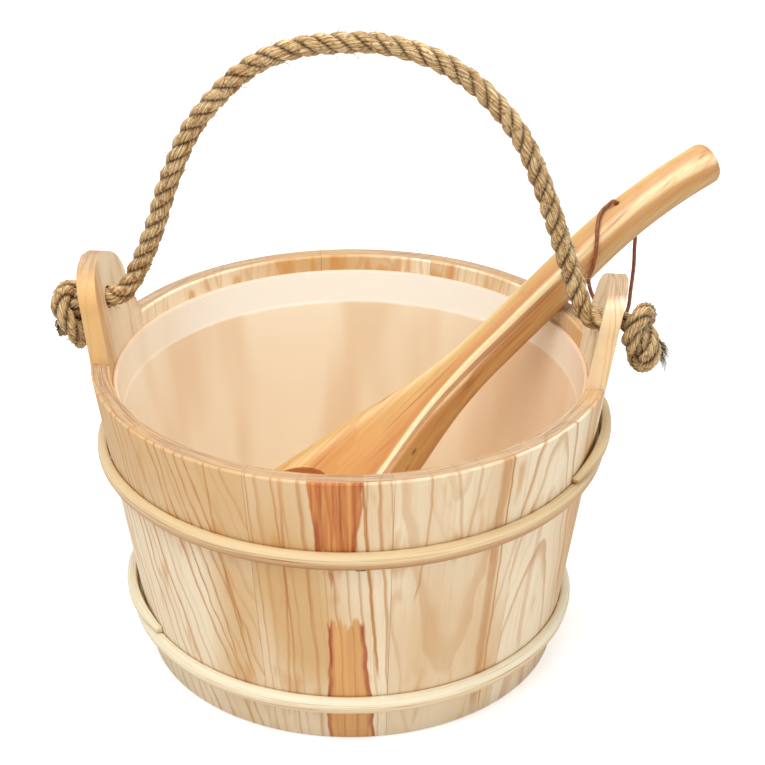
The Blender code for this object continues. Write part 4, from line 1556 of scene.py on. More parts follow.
        radii = {"Outer Radius": radius, "Inner Radius": times(radius, self.yarn_valley)}
        star = take("GeometryNodeCurveStar", {"Points": self.yarns, **radii})
        # valley marks the star's inner points, where the finish paints shade between the yarns.
        star = store(star, "valley", tree.math("FLOORED_MODULO", index, 2.0))
        for label, function in (("turn_x", "COSINE"), ("turn_y", "SINE")):
            star = store(star, label, tree.math(function, times(along["Factor"], tau)))
        parts = {"Curve": strand, "Profile Curve": star, "Fill Caps": True}
        skin = tree.node("GeometryNodeCurveToMesh", parts)
        if "Scale" in skin.inputs:
            tree.feed(skin.inputs["Scale"], size)
        inward = tree.vector("NORMALIZE", tree.named("lean", "FLOAT_VECTOR"))
        outward = tree.node("ShaderNodeVectorMath", {0: normal, 1: inward}, operation="DOT_PRODUCT")
        # groove marks where a strand faces the others; the finish paints shade there, and stray fibres keep
        # off it.
        groove = tree.band(outward.outputs["Value"], -0.10, 0.88, 1.0, 0.0)
        marked = store(skin.outputs[0], "groove", groove)
        bumps = tree.linear(tree.noise(place, 620.0, 2.0), self.rough_height, -self.rough_height / 2.0)
        rough = tree.scaled(normal, bumps)
        marked = take("GeometryNodeSetPosition", {"Geometry": marked, "Offset": rough})
        marked = take("GeometryNodeSetShadeSmooth", {"Geometry": marked})
        return close(tree, result, rope=tree.finish_as(marked, given["finish"]))

    def fibre_tree(self) -> NodeTree:
        """Geometry nodes that scatter stray fibres over the strands.

        Returns:
            The tree.
        """
        inputs = ["rope", "density", "length", "thickness", "random seed", "finish"]
        tree, given, result = new_group("Stray fibres", inputs, ["fibres"], "GeometryNodeTree")
        take, seed = tree.take, given["random seed"]
        outer = tree.math("LESS_THAN", tree.named("groove"), self.stray_groove)
        scatter = {"Mesh": given["rope"], "Selection": outer, "Density": given["density"], "Seed": seed}
        spots = tree.node("GeometryNodeDistributePointsOnFaces", scatter).outputs
        bend = {"Start": (0.0, 0.0, -0.02), "Middle": (0.45, 0.08, 0.02), "End": (0.85, 0.0, 0.46)}
        arc = take("GeometryNodeCurveQuadraticBezier", {"Resolution": 5, **bend})
        thickness = tree.math("DIVIDE", given["thickness"], given["length"])
        ring = take("GeometryNodeCurvePrimitiveCircle", {"Resolution": 3, "Radius": thickness})
        hair = take("GeometryNodeCurveToMesh", {"Curve": arc, "Profile Curve": ring, "Fill Caps": True})
        ways = {"Rotation": spots["Rotation"], "Vector": tree.named("lie", "FLOAT_VECTOR")}
        along = take("FunctionNodeAlignRotationToVector", ways, axis="X", pivot_axis="Z")
        angle = tree.between(-self.stray_swing, self.stray_swing, Seed=seed)
        swing = {"Axis": (0.0, 0.0, 1.0), "Angle": angle}
        spin = take("FunctionNodeAxisAngleToRotation", swing)
        laid = take("FunctionNodeRotateRotation", {0: along, 1: spin}, rotation_space="LOCAL")
        hairs = {"Points": spots["Points"], "Instance": hair, "Rotation": laid,
                 "Scale": tree.times(tree.between(*self.stray_scale), given["length"])}
        placed = take("GeometryNodeInstanceOnPoints", hairs)
        return close(tree, result, fibres=tree.finish_as(placed, given["finish"]))

    def frayed_ends(self, path: np.ndarray, finish: Material) -> Object:
        """Short fibres that splay from the rope's two cut ends.

        Args:
            path: The rope's route.
            finish: The stray fibres' finish.

        Returns:
            All the splayed fibres as one mesh.
        """
        rng = np.random.default_rng(self.seed)
        down = np.array([0.0, -0.25, -1.0])
        vertices: list = []
        faces: list = []
        # Each end with a point before it, its longest fibre in metres, and how limp its fibres are
        left, right = (path[0], path[6], 0.0026, 0.1), (path[-1], path[-7], 0.0120, 0.9)
        for end, before, longest, limp in (left, right):
            along = (end - before) / np.linalg.norm(end - before)
            side = np.cross(along, [0.0, 1.0, 0.0])
            side /= np.linalg.norm(side)
            other = np.cross(along, side)
            for _ in range(self.frayed_count):
                spread = sqrt(rng.uniform(0.0, 1.0)) * self.knot_diameter * self.frayed_spread
                angle = rng.uniform(0.0, tau)
                out = side * cos(angle) + other * sin(angle)
                start = end - along * self.frayed_root + out * spread
                length = rng.uniform(self.frayed_least, longest)
                bend = rng.uniform(*self.frayed_bend)
                thick = rng.uniform(*self.frayed_thickness)
                spine = [start + along * length * (t - self.frayed_sag * limp * t * t)
                         + (out * bend + down * limp) * length * t * t for t in (0.0, 0.5, 1.0)]
                base = len(vertices)
                for k, point in enumerate(spine):
                    for j in range(3):
                        turn = tau * j / 3.0
                        reach = thick * (1.0 - self.frayed_taper * k)
                        vertices.append(point + reach * (side * cos(turn) + other * sin(turn)))
                for k in (base, base + 3):
                    faces += [(k + j, k + (j + 1) % 3, k + (j + 1) % 3 + 3, k + j + 3) for j in range(3)]
                faces.append((base + 2, base + 1, base))
                faces.append((base + 6, base + 7, base + 8))
        obj = mesh_object("rope_frayed_ends", vertices, faces)
        dress(obj, finish)
        smooth(obj, 80.0)
        return obj

    def make(self) -> None:
        """Makes the rope, its stray fibres and its frayed ends."""
        finish = RopeFinish()
        laid_finish = finish.make("natural_rope")
        stray_finish = finish.make_stray("stray_fibre", finish.brown, finish.straw)
        frayed_finish = finish.make_stray("soiled_fibre", finish.shade, finish.soiled)
        path, size = self.route()
        line = mesh_object("rope_line", path, [], [(i, i + 1) for i in range(len(path) - 1)])
        ends = np.minimum(np.arange(len(path)), np.arange(len(path))[::-1]) * self.step
        soiled = np.clip(1.0 - (ends - self.soiled) / self.soiled_fade, 0.0, 1.0)
        write_points(line, size=size, end=soiled)
        rope = run_nodes(line, self.strand_tree(), "rope", lay_radius=self.lay_share * self.diameter,
                         strand_radius=self.strand_share * self.diameter, pitch=self.pitch,
                         yarn_turn=self.yarn_turn, finish=laid_finish)
        fibres = run_nodes(rope, self.fibre_tree(), "rope_stray_fibres", keep=True,
                           density=self.stray_density, length=self.stray_length,
                           thickness=self.stray_thickness, random_seed=self.seed, finish=stray_finish)
        frayed = self.frayed_ends(path, frayed_finish)
        length = float(distances(path)[-1])
        seat(rope, "bail", "hemp", "rope_handle", "knot_left", "knot_right")
        for piece in (fibres, frayed):
            seat(piece, "bail", "hemp")
        tuple(path[0])
        [tuple(p) for p in path[::3]]
        LOG.info("rope %.1f mm long", length * 1000.0)


def run_nodes(obj: Object, group: NodeTree, name: str, keep: bool = False,
              **values: object) -> Object:
    """Runs a geometry node tree on an object and makes a plain mesh of the result.

    Args:
        obj: The object that goes in.
        group: The tree.
        name: The plain object's name.
        keep: True where the object that goes in stays.
        values: The tree's inputs, named with underscores for blanks.

    Returns:
        The plain object.
    """
    modifier = obj.modifiers.new(group.name, "NODES")
    modifier.node_group = group
    sockets = {item.name: item.identifier for item in group.interface.items_tree if item.in_out == "INPUT"}
    for key, value in values.items():
        modifier[sockets[key.replace("_", " ")]] = value
    plain = bake(obj, name, keep)
    if keep:
        obj.modifiers.remove(modifier)
    return plain


# Staves


@dataclass
class Staves:
    """Twelve pine staves: five in front, five behind and one with an ear on each side."""

    joint: float = 0.00014
    rim_chamfer: float = 0.0011
    foot_chamfer: float = 0.0010
    front: int = 5
    back: int = 5
    columns: int = 18
    edge_ease: float = 0.00014
    ear_half_top: float = 0.0265
    ear_half_base: float = 0.0335
    ear_corner: float = 0.0210
    ear_crown: float = 0.0012
    ear_ease: float = 0.0004
    ear_foot: float = 0.0004
    hole_clearance: float = 0.0005
    rope_diameter: float = 0.0113
    drill_at: float = 0.137
    drill_length: float = 0.05

    def boards(self) -> dict[str, Board]:
        """How each stave was sawn.

        Returns:
            A board for each stave, by node name.
        """
        top_patch = Patch(0.114, 0.175, 0.0090, 0.0082, 0.0100, 0.0145, 1.0, 0.12)
        tip_patch = Patch(0.094, 0.104, 0.0055, 0.0055, 0.0004, 0.0018, 4.0, 0.0, 0.55)
        foot_patch = Patch(-0.020, 0.073, 0.0150, 0.0120, 0.0150, 0.0095, 2.0, 0.70, 0.95)
        front_2 = (Streak(0.02, 0.175, 0.030, 0.016, -0.004, 0.0010, 0.7),
                   Streak(0.05, 0.175, 0.026, -0.002, 0.004, 0.0009),
                   Streak(0.03, 0.175, 0.020, -0.014, 0.003, 0.0008))
        front_3 = (Streak(0.03, 0.175, 0.0300, 0.0215, -0.001, 0.0012, 0.95),
                   Streak(0.00, 0.17, -0.022, -0.019, 0.002, 0.0011, 0.6))
        front_4 = (Streak(0.08, 0.175, -0.024, -0.020, 0.003, 0.0011, 0.55),
                   Streak(-0.01, 0.175, 0.0205, 0.0225, 0.0, 0.0042, 0.60),
                   Streak(-0.01, 0.175, 0.0250, 0.0268, 0.0, 0.0009, 0.8),
                   Streak(0.11, 0.17, 0.000, -0.007, 0.001, 0.0014, 0.4),
                   Streak(0.11, 0.17, 0.002, 0.008, 0.001, 0.0014, 0.4))
        front_5 = (Streak(0.02, 0.13, -0.016, -0.014, -0.004, 0.0030, 0.35),)
        return {"stave_front_1": Board(Log(0.060, 0.010, -0.16, 0.0062, 0.006, 11.0), 0.95, top_warmth=0.95),
                "stave_front_2": Board(Log(0.040, 0.006, -0.27, 0.0070, 0.0045, 2.0), 0.95, (), front_2,
                                       top_warmth=0.90),
                "stave_front_3": Board(Log(0.070, 0.006, -0.04, 0.0058, 0.003, 5.0), 0.75,
                                       (top_patch, tip_patch, foot_patch), front_3, top_warmth=0.35),
                "stave_front_4": Board(Log(-0.003, 0.020, -0.13, 0.0084, 0.005, 8.0), 0.38, (), front_4),
                "stave_front_5": Board(Log(-0.014, 0.014, 0.20, 0.0092, 0.004, 14.0), 0.7, (), front_5),
                "stave_back_1": Board(Log(0.020, 0.014, 0.16, 0.0062, 0.004, 21.0), 0.9),
                "stave_back_2": Board(Log(-0.050, 0.010, 0.10, 0.0056, 0.004, 24.0), 0.9),
                "stave_back_3": Board(Log(0.002, 0.016, 0.20, 0.0072, 0.004, 27.0), 1.0),
                "stave_back_4": Board(Log(0.055, 0.010, -0.08, 0.0058, 0.004, 30.0), 0.8),
                "stave_back_5": Board(Log(-0.008, 0.016, 0.18, 0.0066, 0.004, 33.0), 0.9),
                "ear_stave_right": Board(Log(0.006, 0.060, 0.05, 0.0032, 0.002, 36.0), 0.9,
                                         edge_warmth=0.55),
                "ear_stave_left": Board(Log(-0.004, 0.060, 0.02, 0.0040, 0.002, 39.0), 0.8,
                                        edge_warmth=0.65)}

    def layout(self) -> dict[str, tuple[float, float]]:
        """First angle and span of each stave, in degrees.

        Returns:
            The angles by node name.
        """
        right = TUB.ear_centre - TUB.ear_angle / 2.0
        right_end = TUB.ear_centre + TUB.ear_angle / 2.0
        left = 180.0 - right_end
        left_end = 180.0 - right
        front = (360.0 + right - left_end) / self.front
        back = (left - right_end) / self.back
        places = {}
        for row, first, span, count in (("front", left_end, front, self.front),
                                        ("back", right_end, back, self.back)):
            places.update({"stave_%s_%d" % (row, i + 1): (first + i * span, span) for i in range(count)})
        places["ear_stave_right"] = (right, TUB.ear_angle)
        places["ear_stave_left"] = (left, TUB.ear_angle)
        return places

    def section(self) -> list[tuple[float, float]]:
        """Closed section of a plain stave: (radius, height), down the outside and up the inside.

        Returns:
            The section's points.
        """
        top = TUB.rim_z - self.rim_chamfer
        foot = TUB.foot_z + self.foot_chamfer
        low, high, groove = self.croze()
        outside = [(TUB.radius(float(z)), float(z)) for z in np.linspace(top, foot, 7)]
        return [(TUB.radius(TUB.rim_z) - self.rim_chamfer, TUB.rim_z), *outside,
                (TUB.radius(TUB.foot_z) - self.foot_chamfer, TUB.foot_z),
                (TUB.inner(TUB.foot_z) + self.foot_chamfer, TUB.foot_z), (TUB.inner(foot), foot),
                (TUB.inner(low), low), (groove, low), (groove, high), (TUB.inner(high), high),
                (TUB.inner(top), top), (TUB.inner(TUB.rim_z) + self.rim_chamfer, TUB.rim_z)]

    def croze(self) -> tuple[float, float, float]:
        """Foot, top and radius of the groove that holds the board."""
        return (TUB.board_rebate - TUB.gap, TUB.board_thickness + TUB.gap,
                TUB.inner(TUB.board_thickness / 2.0) + TUB.croze_depth)

    def arc(self, radius: float, z: float, start: float, span: float) -> list[tuple[float, float, float]]:
        """Points across a stave at one radius and height, inside its joints.

        Args:
            radius: Radius in metres.
            z: Height.
            start: First angle in degrees.
            span: Angle in degrees.

        Returns:
            The points.
        """
        inset = degrees(self.joint / 2.0 / radius)
        return [around(radius, radians(start + inset + (span - 2.0 * inset) * i / self.columns), z)
                for i in range(self.columns + 1)]

    def ear_rows(self) -> list[tuple[float, float, float]]:
        """Rows of an ear above the rim: height at the edges, half width, and crown share.

        Returns:
            The rows, from the rim up.
        """
        corner_z = TUB.ear_top_z - self.ear_corner - self.ear_crown
        rows = []
        for share in np.linspace(0.0, 1.0, 6):
            z = TUB.rim_z + (corner_z - TUB.rim_z) * float(share)
            half = self.ear_half_base + (self.ear_half_top - self.ear_half_base) * float(share)
            rows.append((z, half, 0.0))
        for angle in range(6, 91, 6):
            a = radians(angle)
            half = self.ear_half_top - self.ear_corner * (1.0 - cos(a))
            rows.append((corner_z + self.ear_corner * sin(a), half, 1.0 if angle == 90 else 0.0))
        return rows

    def ear_stave(self, name: str, side: Side, start: float, span: float) -> Object:
        """A tall stave with its ear and rope hole.

        Args:
            name: The node's name.
            side: Which ear.
            start: First angle in degrees.
            span: Angle in degrees.

        Returns:
            The stave.
        """
        low, high, groove = self.croze()
        edge = self.foot_chamfer
        foot = TUB.foot_z
        below = [(foot, TUB.radius(foot) - edge, TUB.inner(foot) + edge),
                 (foot + edge, TUB.radius(foot + edge), TUB.inner(foot + edge)),
                 (low, TUB.radius(low), TUB.inner(low)), (low, TUB.radius(low), groove),
                 (high, TUB.radius(high), groove), (high, TUB.radius(high), TUB.inner(high))]
        for share in (0.25, 0.5, 0.75, 1.0):
            z = high + (TUB.rim_z - self.ear_foot - high) * share
            below.append((z, TUB.radius(z), TUB.inner(z)))
        rings = [self.arc(outer, z, start, span) + self.arc(inner, z, start, span)[::-1]
                 for z, outer, inner in below]
        across = [(2.0 * i / self.columns - 1.0) * side.value for i in range(self.columns + 1)]
        for edge_z, half, crown in self.ear_rows():
            spots = [(TUB.hinge_y + half * u, edge_z + crown * self.ear_crown * (1.0 - u * u))
                     for u in across]
            outer, inner = ([(side.value * sqrt(radius(z) ** 2 - y * y), y, z) for y, z in spots]
                            for radius in (TUB.radius, TUB.inner))
            rings.append(outer + inner[::-1])
        stave = loft(name + "_wood", rings, True)
        work = bmesh.new()
        work.from_mesh(stave.data)
        bmesh.ops.dissolve_degenerate(work, edges=work.edges, dist=0.00001)
        work.to_mesh(stave.data)
        work.free()
        turn_outwards(stave)
        place = Matrix.Translation((side.value * self.drill_at, TUB.hinge_y, TUB.hinge_z))
        place @= Matrix.Rotation(radians(90.0), 4, "Y")
        drill = rod(place, self.rope_diameter / 2.0 + self.hole_clearance, self.drill_length, 48)
        stave = cut(stave, drill, name + "_wood")
        soften(stave, self.ear_ease, 55.0, True)
        return stave

    def make(self) -> None:
        """Makes and dresses all twelve staves."""
        finish = PineFinish()
        boards = self.boards()
        for name, (start, span) in self.layout().items():
            if name.startswith("ear"):
                side = Side.RIGHT if name.endswith("right") else Side.LEFT
                stave = self.ear_stave(name, side, start, span)
            else:
                rows = [self.arc(radius, z, start, span) for radius, z in self.section()]
                stave = loft(name + "_wood", list(zip(*rows)))
                soften(stave, self.edge_ease)
            stave = bake(stave, name + "_wood")
            smooth(stave, 32.0)
            dress(stave, finish.make(name + "_pine", start + span / 2.0, boards[name]))
            seat(stave, "bucket", "pine", name)


# Liner


@dataclass
class Liner:
    """Moulded tub: a collar that touches the staves, a shoulder under it and a rounded foot."""

    drop: float = 0.0083
    wall: float = 0.0018
    collar: float = 0.0170
    step: float = 0.0014
    inner_step: float = 0.0004
    shoulder: float = 0.0030
    corner: float = 0.0070
    steps: int = 160

    def outer(self, z: float, step: float = 0.0) -> float:
        """Outer radius at a height, set in by a step."""
        return TUB.inner(z) - TUB.gap - step

    def side(self, step: float, inset: float) -> list[tuple[float, float]]:
        """Points up one face of the wall, from its floor to its collar.

        Args:
            step: How far the wall stands in from the collar.
            inset: How far the face lies inside the outer face.

        Returns:
            Radius and height of each point.
        """
        bend = self.corner - inset
        foot = TUB.board_thickness + TUB.gap + self.corner
        head = TUB.rim_z - self.drop - self.collar
        middle = self.outer(foot, step) - inset
        turns = [radians(9.0 * i) for i in range(11)]
        points = [(middle - bend * (1.0 - sin(a)), foot - bend * cos(a)) for a in turns]
        for i in range(1, 6):
            z = foot + (head - self.shoulder - foot) * i / 6.0
            points.append((self.outer(z, step) - inset, z))
        for share in np.linspace(0.0, 1.0, 7):
            z = head + self.shoulder * (float(share) - 1.0)
            points.append((self.outer(z, step * (1.0 - ease(share))) - inset, z))
        return points

    def profile(self) -> list[tuple[float, float]]:
        """Section from the middle of the underside round the lip to the middle of the floor.

        Returns:
            Radius and height of each point.
        """
        round_lip = self.wall / 2.0
        lip = TUB.rim_z - self.drop - round_lip
        low = TUB.board_thickness + TUB.gap
        reach = 0.6 * self.outer(low)
        middle = self.outer(TUB.rim_z - self.drop) - round_lip
        turns = [radians(30.0 * i) for i in range(7)]
        return [(0.0, low), (reach, low), *self.side(self.step, 0.0), (self.outer(lip), lip),
                *((middle + round_lip * cos(a), lip + round_lip * sin(a)) for a in turns),
                (self.outer(lip) - self.wall, lip), *reversed(self.side(self.inner_step, self.wall)),
                (reach, low + self.wall), (0.0, low + self.wall)]

    def make(self) -> None:
        """Makes and dresses the liner."""
        profile = self.profile()
        turns = [tau * i / self.steps for i in range(self.steps)]
        vertices = [around(r, turn, z) for turn in turns for r, z in profile[1:-1]]
        count = len(profile) - 2
        under = len(vertices)
        vertices += [(0.0, 0.0, profile[0][1]), (0.0, 0.0, profile[-1][1])]
        faces = []
        for i in range(self.steps):
            j = (i + 1) % self.steps
            for k in range(count - 1):
                faces.append((i * count + k, j * count + k, j * count + k + 1, i * count + k + 1))
            faces.append((under, j * count, i * count))
            faces.append((under + 1, i * count + count - 1, j * count + count - 1))
        liner = mesh_object("liner_shell", vertices, faces)
        turn_outwards(liner)
        smooth(liner, 50.0)
        dress(liner, LinerFinish().make("peach_plastic"))
        seat(liner, "bucket", "liner_plastic", "liner")


# Hoops


@dataclass
class Hoop:
    """One cane strip round the staves. Its pointed end lies on top of its own start."""

    name: str
    centre_z: float
    tip: float
    turn: float
    seed: float
    # How golden the cane is, which also deepens the painted shade under it.
    warmth: float
    finish: CaneFinish = CaneFinish()
    height: float = 0.0102
    bulge: float = 0.0058
    seat: float = 0.0004
    lap: float = 40.0
    ramp: float = 20.0
    lap_clearance: float = 0.0006
    tip_angle: float = 14.0
    tip_scale: float = 0.35
    stand_off: float = 0.0016
    step: float = 1.25
    thin: float = 0.45
    lap_end: float = 2.0
    stand_ramp: float = 12.0
    stand_end: float = 8.0
    stand_fall: float = 10.0

    def ring(self, angle: float, z: float, scale: float, stand: float) -> list[tuple[float, float, float]]:
        """Half-round section at an angle, its flat back along the wall.

        Args:
            angle: Angle in degrees.
            z: Height of its middle.
            scale: Share of the full section.
            stand: Distance off the wall.

        Returns:
            The section's points.
        """
        half = self.height / 2.0 * scale
        bulge = self.bulge * (self.thin + (1.0 - self.thin) * scale)
        a = radians(angle)
        edge = [(0.94, 0.0), (1.0, 0.06), (1.0, 0.28), (0.90, 0.52), (0.72, 0.72), (0.48, 0.88),
                (0.22, 0.97)]
        shape = [*((-along, out) for along, out in edge), (0.0, 0.99), *reversed(edge)]
        points = []
        for along, out in shape:
            height = z + along * half
            radius = TUB.radius(height) + self.seat + stand + out * bulge
            points.append(around(radius, a, height))
        return points

    def make(self) -> None:
        """Makes and dresses the hoop."""
        total = 360.0 + self.lap
        steps = int(round(total / self.step))
        rings = []
        for i in range(steps + 1):
            run = total * i / steps
            first, last = (self.tip_scale + (1.0 - self.tip_scale) * ease(way / self.tip_angle)
                           for way in (run, total - run))
            on_top = 1.0 - ease((run - self.lap - self.lap_end) / self.ramp)
            rise = (self.height / 2.0 * (1.0 + first) + self.lap_clearance) * on_top
            drop = (1.0 - last) * self.height / 2.0
            fall = ease((run - self.lap + self.stand_end) / self.stand_fall)
            stand = self.stand_off * ease(run / self.stand_ramp) * (1.0 - fall)
            rings.append(self.ring(self.tip + self.turn * run, self.centre_z + rise - drop,
                                   min(first, last), stand))
        hoop = loft(self.name + "_cane", rings)
        count = len(rings[0])
        turns = [pi * (k / (count - 1.0) - 0.5) for k in range(count)]
        runs = total * np.arange(steps + 1) / steps * radians(1.0) * TUB.rim_radius
        write_points(hoop, run=np.repeat(runs, count), turn_x=np.tile(np.cos(turns), steps + 1),
                     turn_y=np.tile(np.sin(turns), steps + 1))
        smooth(hoop, 50.0)
        dress(hoop, self.finish.make(self.name + "_finish", self.seed, self.warmth))
        seat(hoop, "bucket", "cane", self.name)


# Ladle


@dataclass
class Ladle:
    """Ladle carved in one, its bowl on the liner's floor and its handle on the rim, with a thong."""

    yaw: float = 30.0
    pass_angle: float = 33.04
    pass_inset: float = 0.0095
    inset: float = 0.10134
    rest_gap: float = 0.00010
    rim_offset: float = -0.00010
    length: float = 0.2508
    straight: float = 0.1540
    bend_radius: float = 0.3000
    radius: float = 0.0118
    depth: float = 0.0252
    bowl_centre: float = 0.0715
    bowl_radius: float = 0.0500
    bowl_depth: float = 0.0356
    bowl_edge: float = 0.0050
    bowl_lip: float = 0.0045
    bowl_floor: float = 0.0060
    flare: float = 0.1715
    thong_diameter: float = 0.0022
    thong_hole: float = 0.0034
    thong_distance: float = 0.1910
    thong_clearance: float = 0.0007
    sides: int = 96
    ridge_angle: float = 137.0
    ridge_width: float = 9.5
    ridge_height: float = 0.0013
    trough_angle: float = 114.0
    trough_depth: float = 0.0007
    lower_angle: float = 151.0
    end_ease: float = 0.0050
    end_share: float = 0.55
    edge_ease: float = 0.0004
    edge_share: float = 0.45
    ridge_past: float = 0.010
    ridge_fade: float = 0.030
    ridge_upper: float = 0.35
    ridge_rise_at: float = 0.175
    ridge_rise: float = 0.050
    ridge_end_gap: float = 0.010
    ridge_end_fade: float = 0.020
    handle_rings: int = 34
    flare_rings: int = 46
    tint_start: float = 0.070
    tint_reach: float = 0.110
    scooped_below: float = 0.001
    scooped_near: float = 0.003
    thong_uneven: float = 0.05
    thong_waves: float = 2900.0
    # Share of the flare up from the bowl's centre, then shares of the change from handle to bowl: half
    # width, depth and edge height, and the top's squareness
    flare_rows: tuple = ((1.000, 0.000, 0.000, 0.000, 2.0), (0.860, 0.016, 0.000, 0.105, 2.1),
                         (0.738, 0.089, 0.115, 0.342, 2.5), (0.633, 0.194, 0.365, 0.605, 3.0),
                         (0.504, 0.377, 0.702, 0.842, 3.8), (0.417, 0.508, 0.875, 0.934, 4.2),
                         (0.283, 0.691, 0.990, 0.974, 4.6), (0.155, 0.877, 1.048, 1.000, 4.8),
                         (0.000, 1.000, 1.000, 1.000, 5.0))

    def __post_init__(self) -> None:
        """Works out the ladle's plane and lean."""
        yaw = radians(self.yaw)
        self.along = Vector((cos(yaw), sin(yaw), 0.0))
        self.across = Vector((-sin(yaw), cos(yaw), 0.0))
        self.origin = Vector(around(TUB.rim_radius - self.pass_inset, radians(self.pass_angle), 0.0))
        run = 2.0 * TUB.rim_radius - self.inset
        slope = radians(40.0)
        floor = TUB.board_thickness + TUB.gap + Liner().wall
        # The slope and the heights that depend on it settle together
        for _ in range(30):
            deep = hypot(self.bowl_radius * sin(slope), self.bowl_depth * cos(slope))
            bowl_z = floor + self.rest_gap + deep
            rim_z = TUB.rim_z + self.depth / cos(slope) + self.rim_offset
            slope = atan2(rim_z - bowl_z, run)
        self.slope = slope
        self.bowl_point = Vector((-run, bowl_z))

    def place(self, spot: Vector, side: float = 0.0) -> Vector:
        """Place of a (run, height) point of the ladle's plane, moved sideways."""
        return self.origin + self.along * spot.x + self.across * side + Vector((0.0, 0.0, spot.y))

    def spine(self, a: float) -> tuple[Vector, Vector, Vector]:
        """Point (run, height) of the spine at a, measured down the slope, and the ways up and out of it.

        Args:
            a: Distance down the slope.

        Returns:
            The point and the two ways.
        """
        way = Vector((cos(self.slope), sin(self.slope)))
        up = Vector((-way.y, way.x))
        base = self.bowl_point + way * self.bowl_centre - up * self.radius
        bend_at = -self.straight
        if a >= bend_at:
            return base - way * a, way, up
        turn = self.slope + (a - bend_at) / self.bend_radius
        centre = base - way * bend_at - up * self.bend_radius
        out = Vector((-sin(turn), cos(turn)))
        return centre + out * self.bend_radius, Vector((out.y, -out.x)), out

    def rows(self) -> list[tuple[float, ...]]:
        """Rows of the form: place, half width, depth, edge height and squareness.

        Returns:
            The rows, from the handle's end down.
        """
        rows = [(-share * self.length, self.radius, 2.0 * self.radius, self.radius, 2.0)
                for share in (1.2, 0.8)]
        rows.append((-0.6 * self.length, self.radius, self.depth, self.depth / 2.0, 2.0))
        for share, width, depth, edge, power in self.flare_rows:
            rows.append((self.bowl_centre - share * self.flare,
                         self.radius + (self.bowl_radius - self.radius) * width,
                         self.depth + (self.bowl_depth - self.depth) * depth,
                         self.depth / 2.0 + (self.bowl_edge - self.depth / 2.0) * edge, power))
        return rows

    @staticmethod
    def read(a: float, rows: Sequence[tuple[float, ...]]) -> tuple[float, ...]:
        """Smooth reading of each column of the rows at a, held beyond the first and the last row.

        Args:
            a: Where to read.
            rows: The rows, their place first.

        Returns:
            The columns after the first.
        """
        last = len(rows) - 1
        a = min(max(a, rows[0][0]), rows[last][0])
        i = min(max(k for k in range(len(rows)) if rows[k][0] <= a), last - 1)
        before, low, high, after = (rows[k] for k in (max(i - 1, 0), i, i + 1, min(i + 2, last)))
        span = high[0] - low[0]
        t = (a - low[0]) / span
        values = []
        for k in range(1, len(low)):
            first = span * (high[k] - before[k]) / (high[0] - before[0])
            second = span * (after[k] - low[k]) / (after[0] - low[0])
            values.append((2 * t ** 3 - 3 * t ** 2 + 1) * low[k] + (t ** 3 - 2 * t ** 2 + t) * first
                          + (-2 * t ** 3 + 3 * t ** 2) * high[k] + (t ** 3 - t ** 2) * second)
        return tuple(values)

    def ridge(self, a: float, angle: float, middle: float) -> float:
        """Share of the raised edge, or of the trough beside it, at a and an angle in degrees.

        Args:
            a: Place along the spine.
            angle: Angle round the section.
            middle: Angle of its middle.

        Returns:
            The share.
        """
        near = exp(-((angle - middle) / self.ridge_width) ** 2)
        # It fades out over the bowl, is lower along the upper handle and ends short of the handle's end
        low = held((self.bowl_centre + self.ridge_past - a) / self.ridge_fade)
        high = self.ridge_upper + (1.0 - self.ridge_upper) * held((a + self.ridge_rise_at) / self.ridge_rise)
        end = held((a + self.length - self.ridge_end_gap) / self.ridge_end_fade)
        return near * low * high * end

    def ring(self, a: float, rows: Sequence[tuple[float, ...]]) -> list[Vector]:
        """Section of the ladle at a.

        Args:
            a: Place along the spine.
            rows: The rows of the form.

        Returns:
            The section's points.
        """
        half, depth, edge, power = self.read(a, rows)
        if a > self.bowl_centre:
            share = sqrt(max(0.0, 1.0 - ((a - self.bowl_centre) / self.bowl_radius) ** 2))
            half = self.bowl_radius * share
            depth = self.bowl_depth * share
            edge = min(edge, depth * self.edge_share)
        top = self.radius
        dome = a + self.length
        if dome < self.end_ease:
            round_share = sqrt(max(0.0, 1.0 - ((self.end_ease - dome) / self.end_ease) ** 2))
            share = self.end_share + (1.0 - self.end_share) * round_share
            half *= share
            middle = self.radius - depth / 2.0
            depth *= share
            top = middle + depth / 2.0
            edge = depth / 2.0
        point, _, up = self.spine(a)
        ring = []
        for i in range(self.sides):
            angle = tau * i / self.sides
            c, s = cos(angle), sin(angle)
            if s >= 0.0:
                side = half * copysign(abs(c) ** (2.0 / power), c)
                height = top - edge + edge * abs(s) ** (2.0 / power)
            else:
                side = half * c
                height = top - edge - (depth - edge) * abs(s)
            height += self.ridge_height * self.ridge(a, degrees(angle), self.ridge_angle)
            height -= self.trough_depth * self.ridge(a, degrees(angle), self.trough_angle)
            ring.append(self.place(point + up * height, side))
        return ring

    def body(self) -> Object:
        """The carved body with its hollow and its thong hole.

        Returns:
            The body.
        """
        neck = self.bowl_centre - self.flare
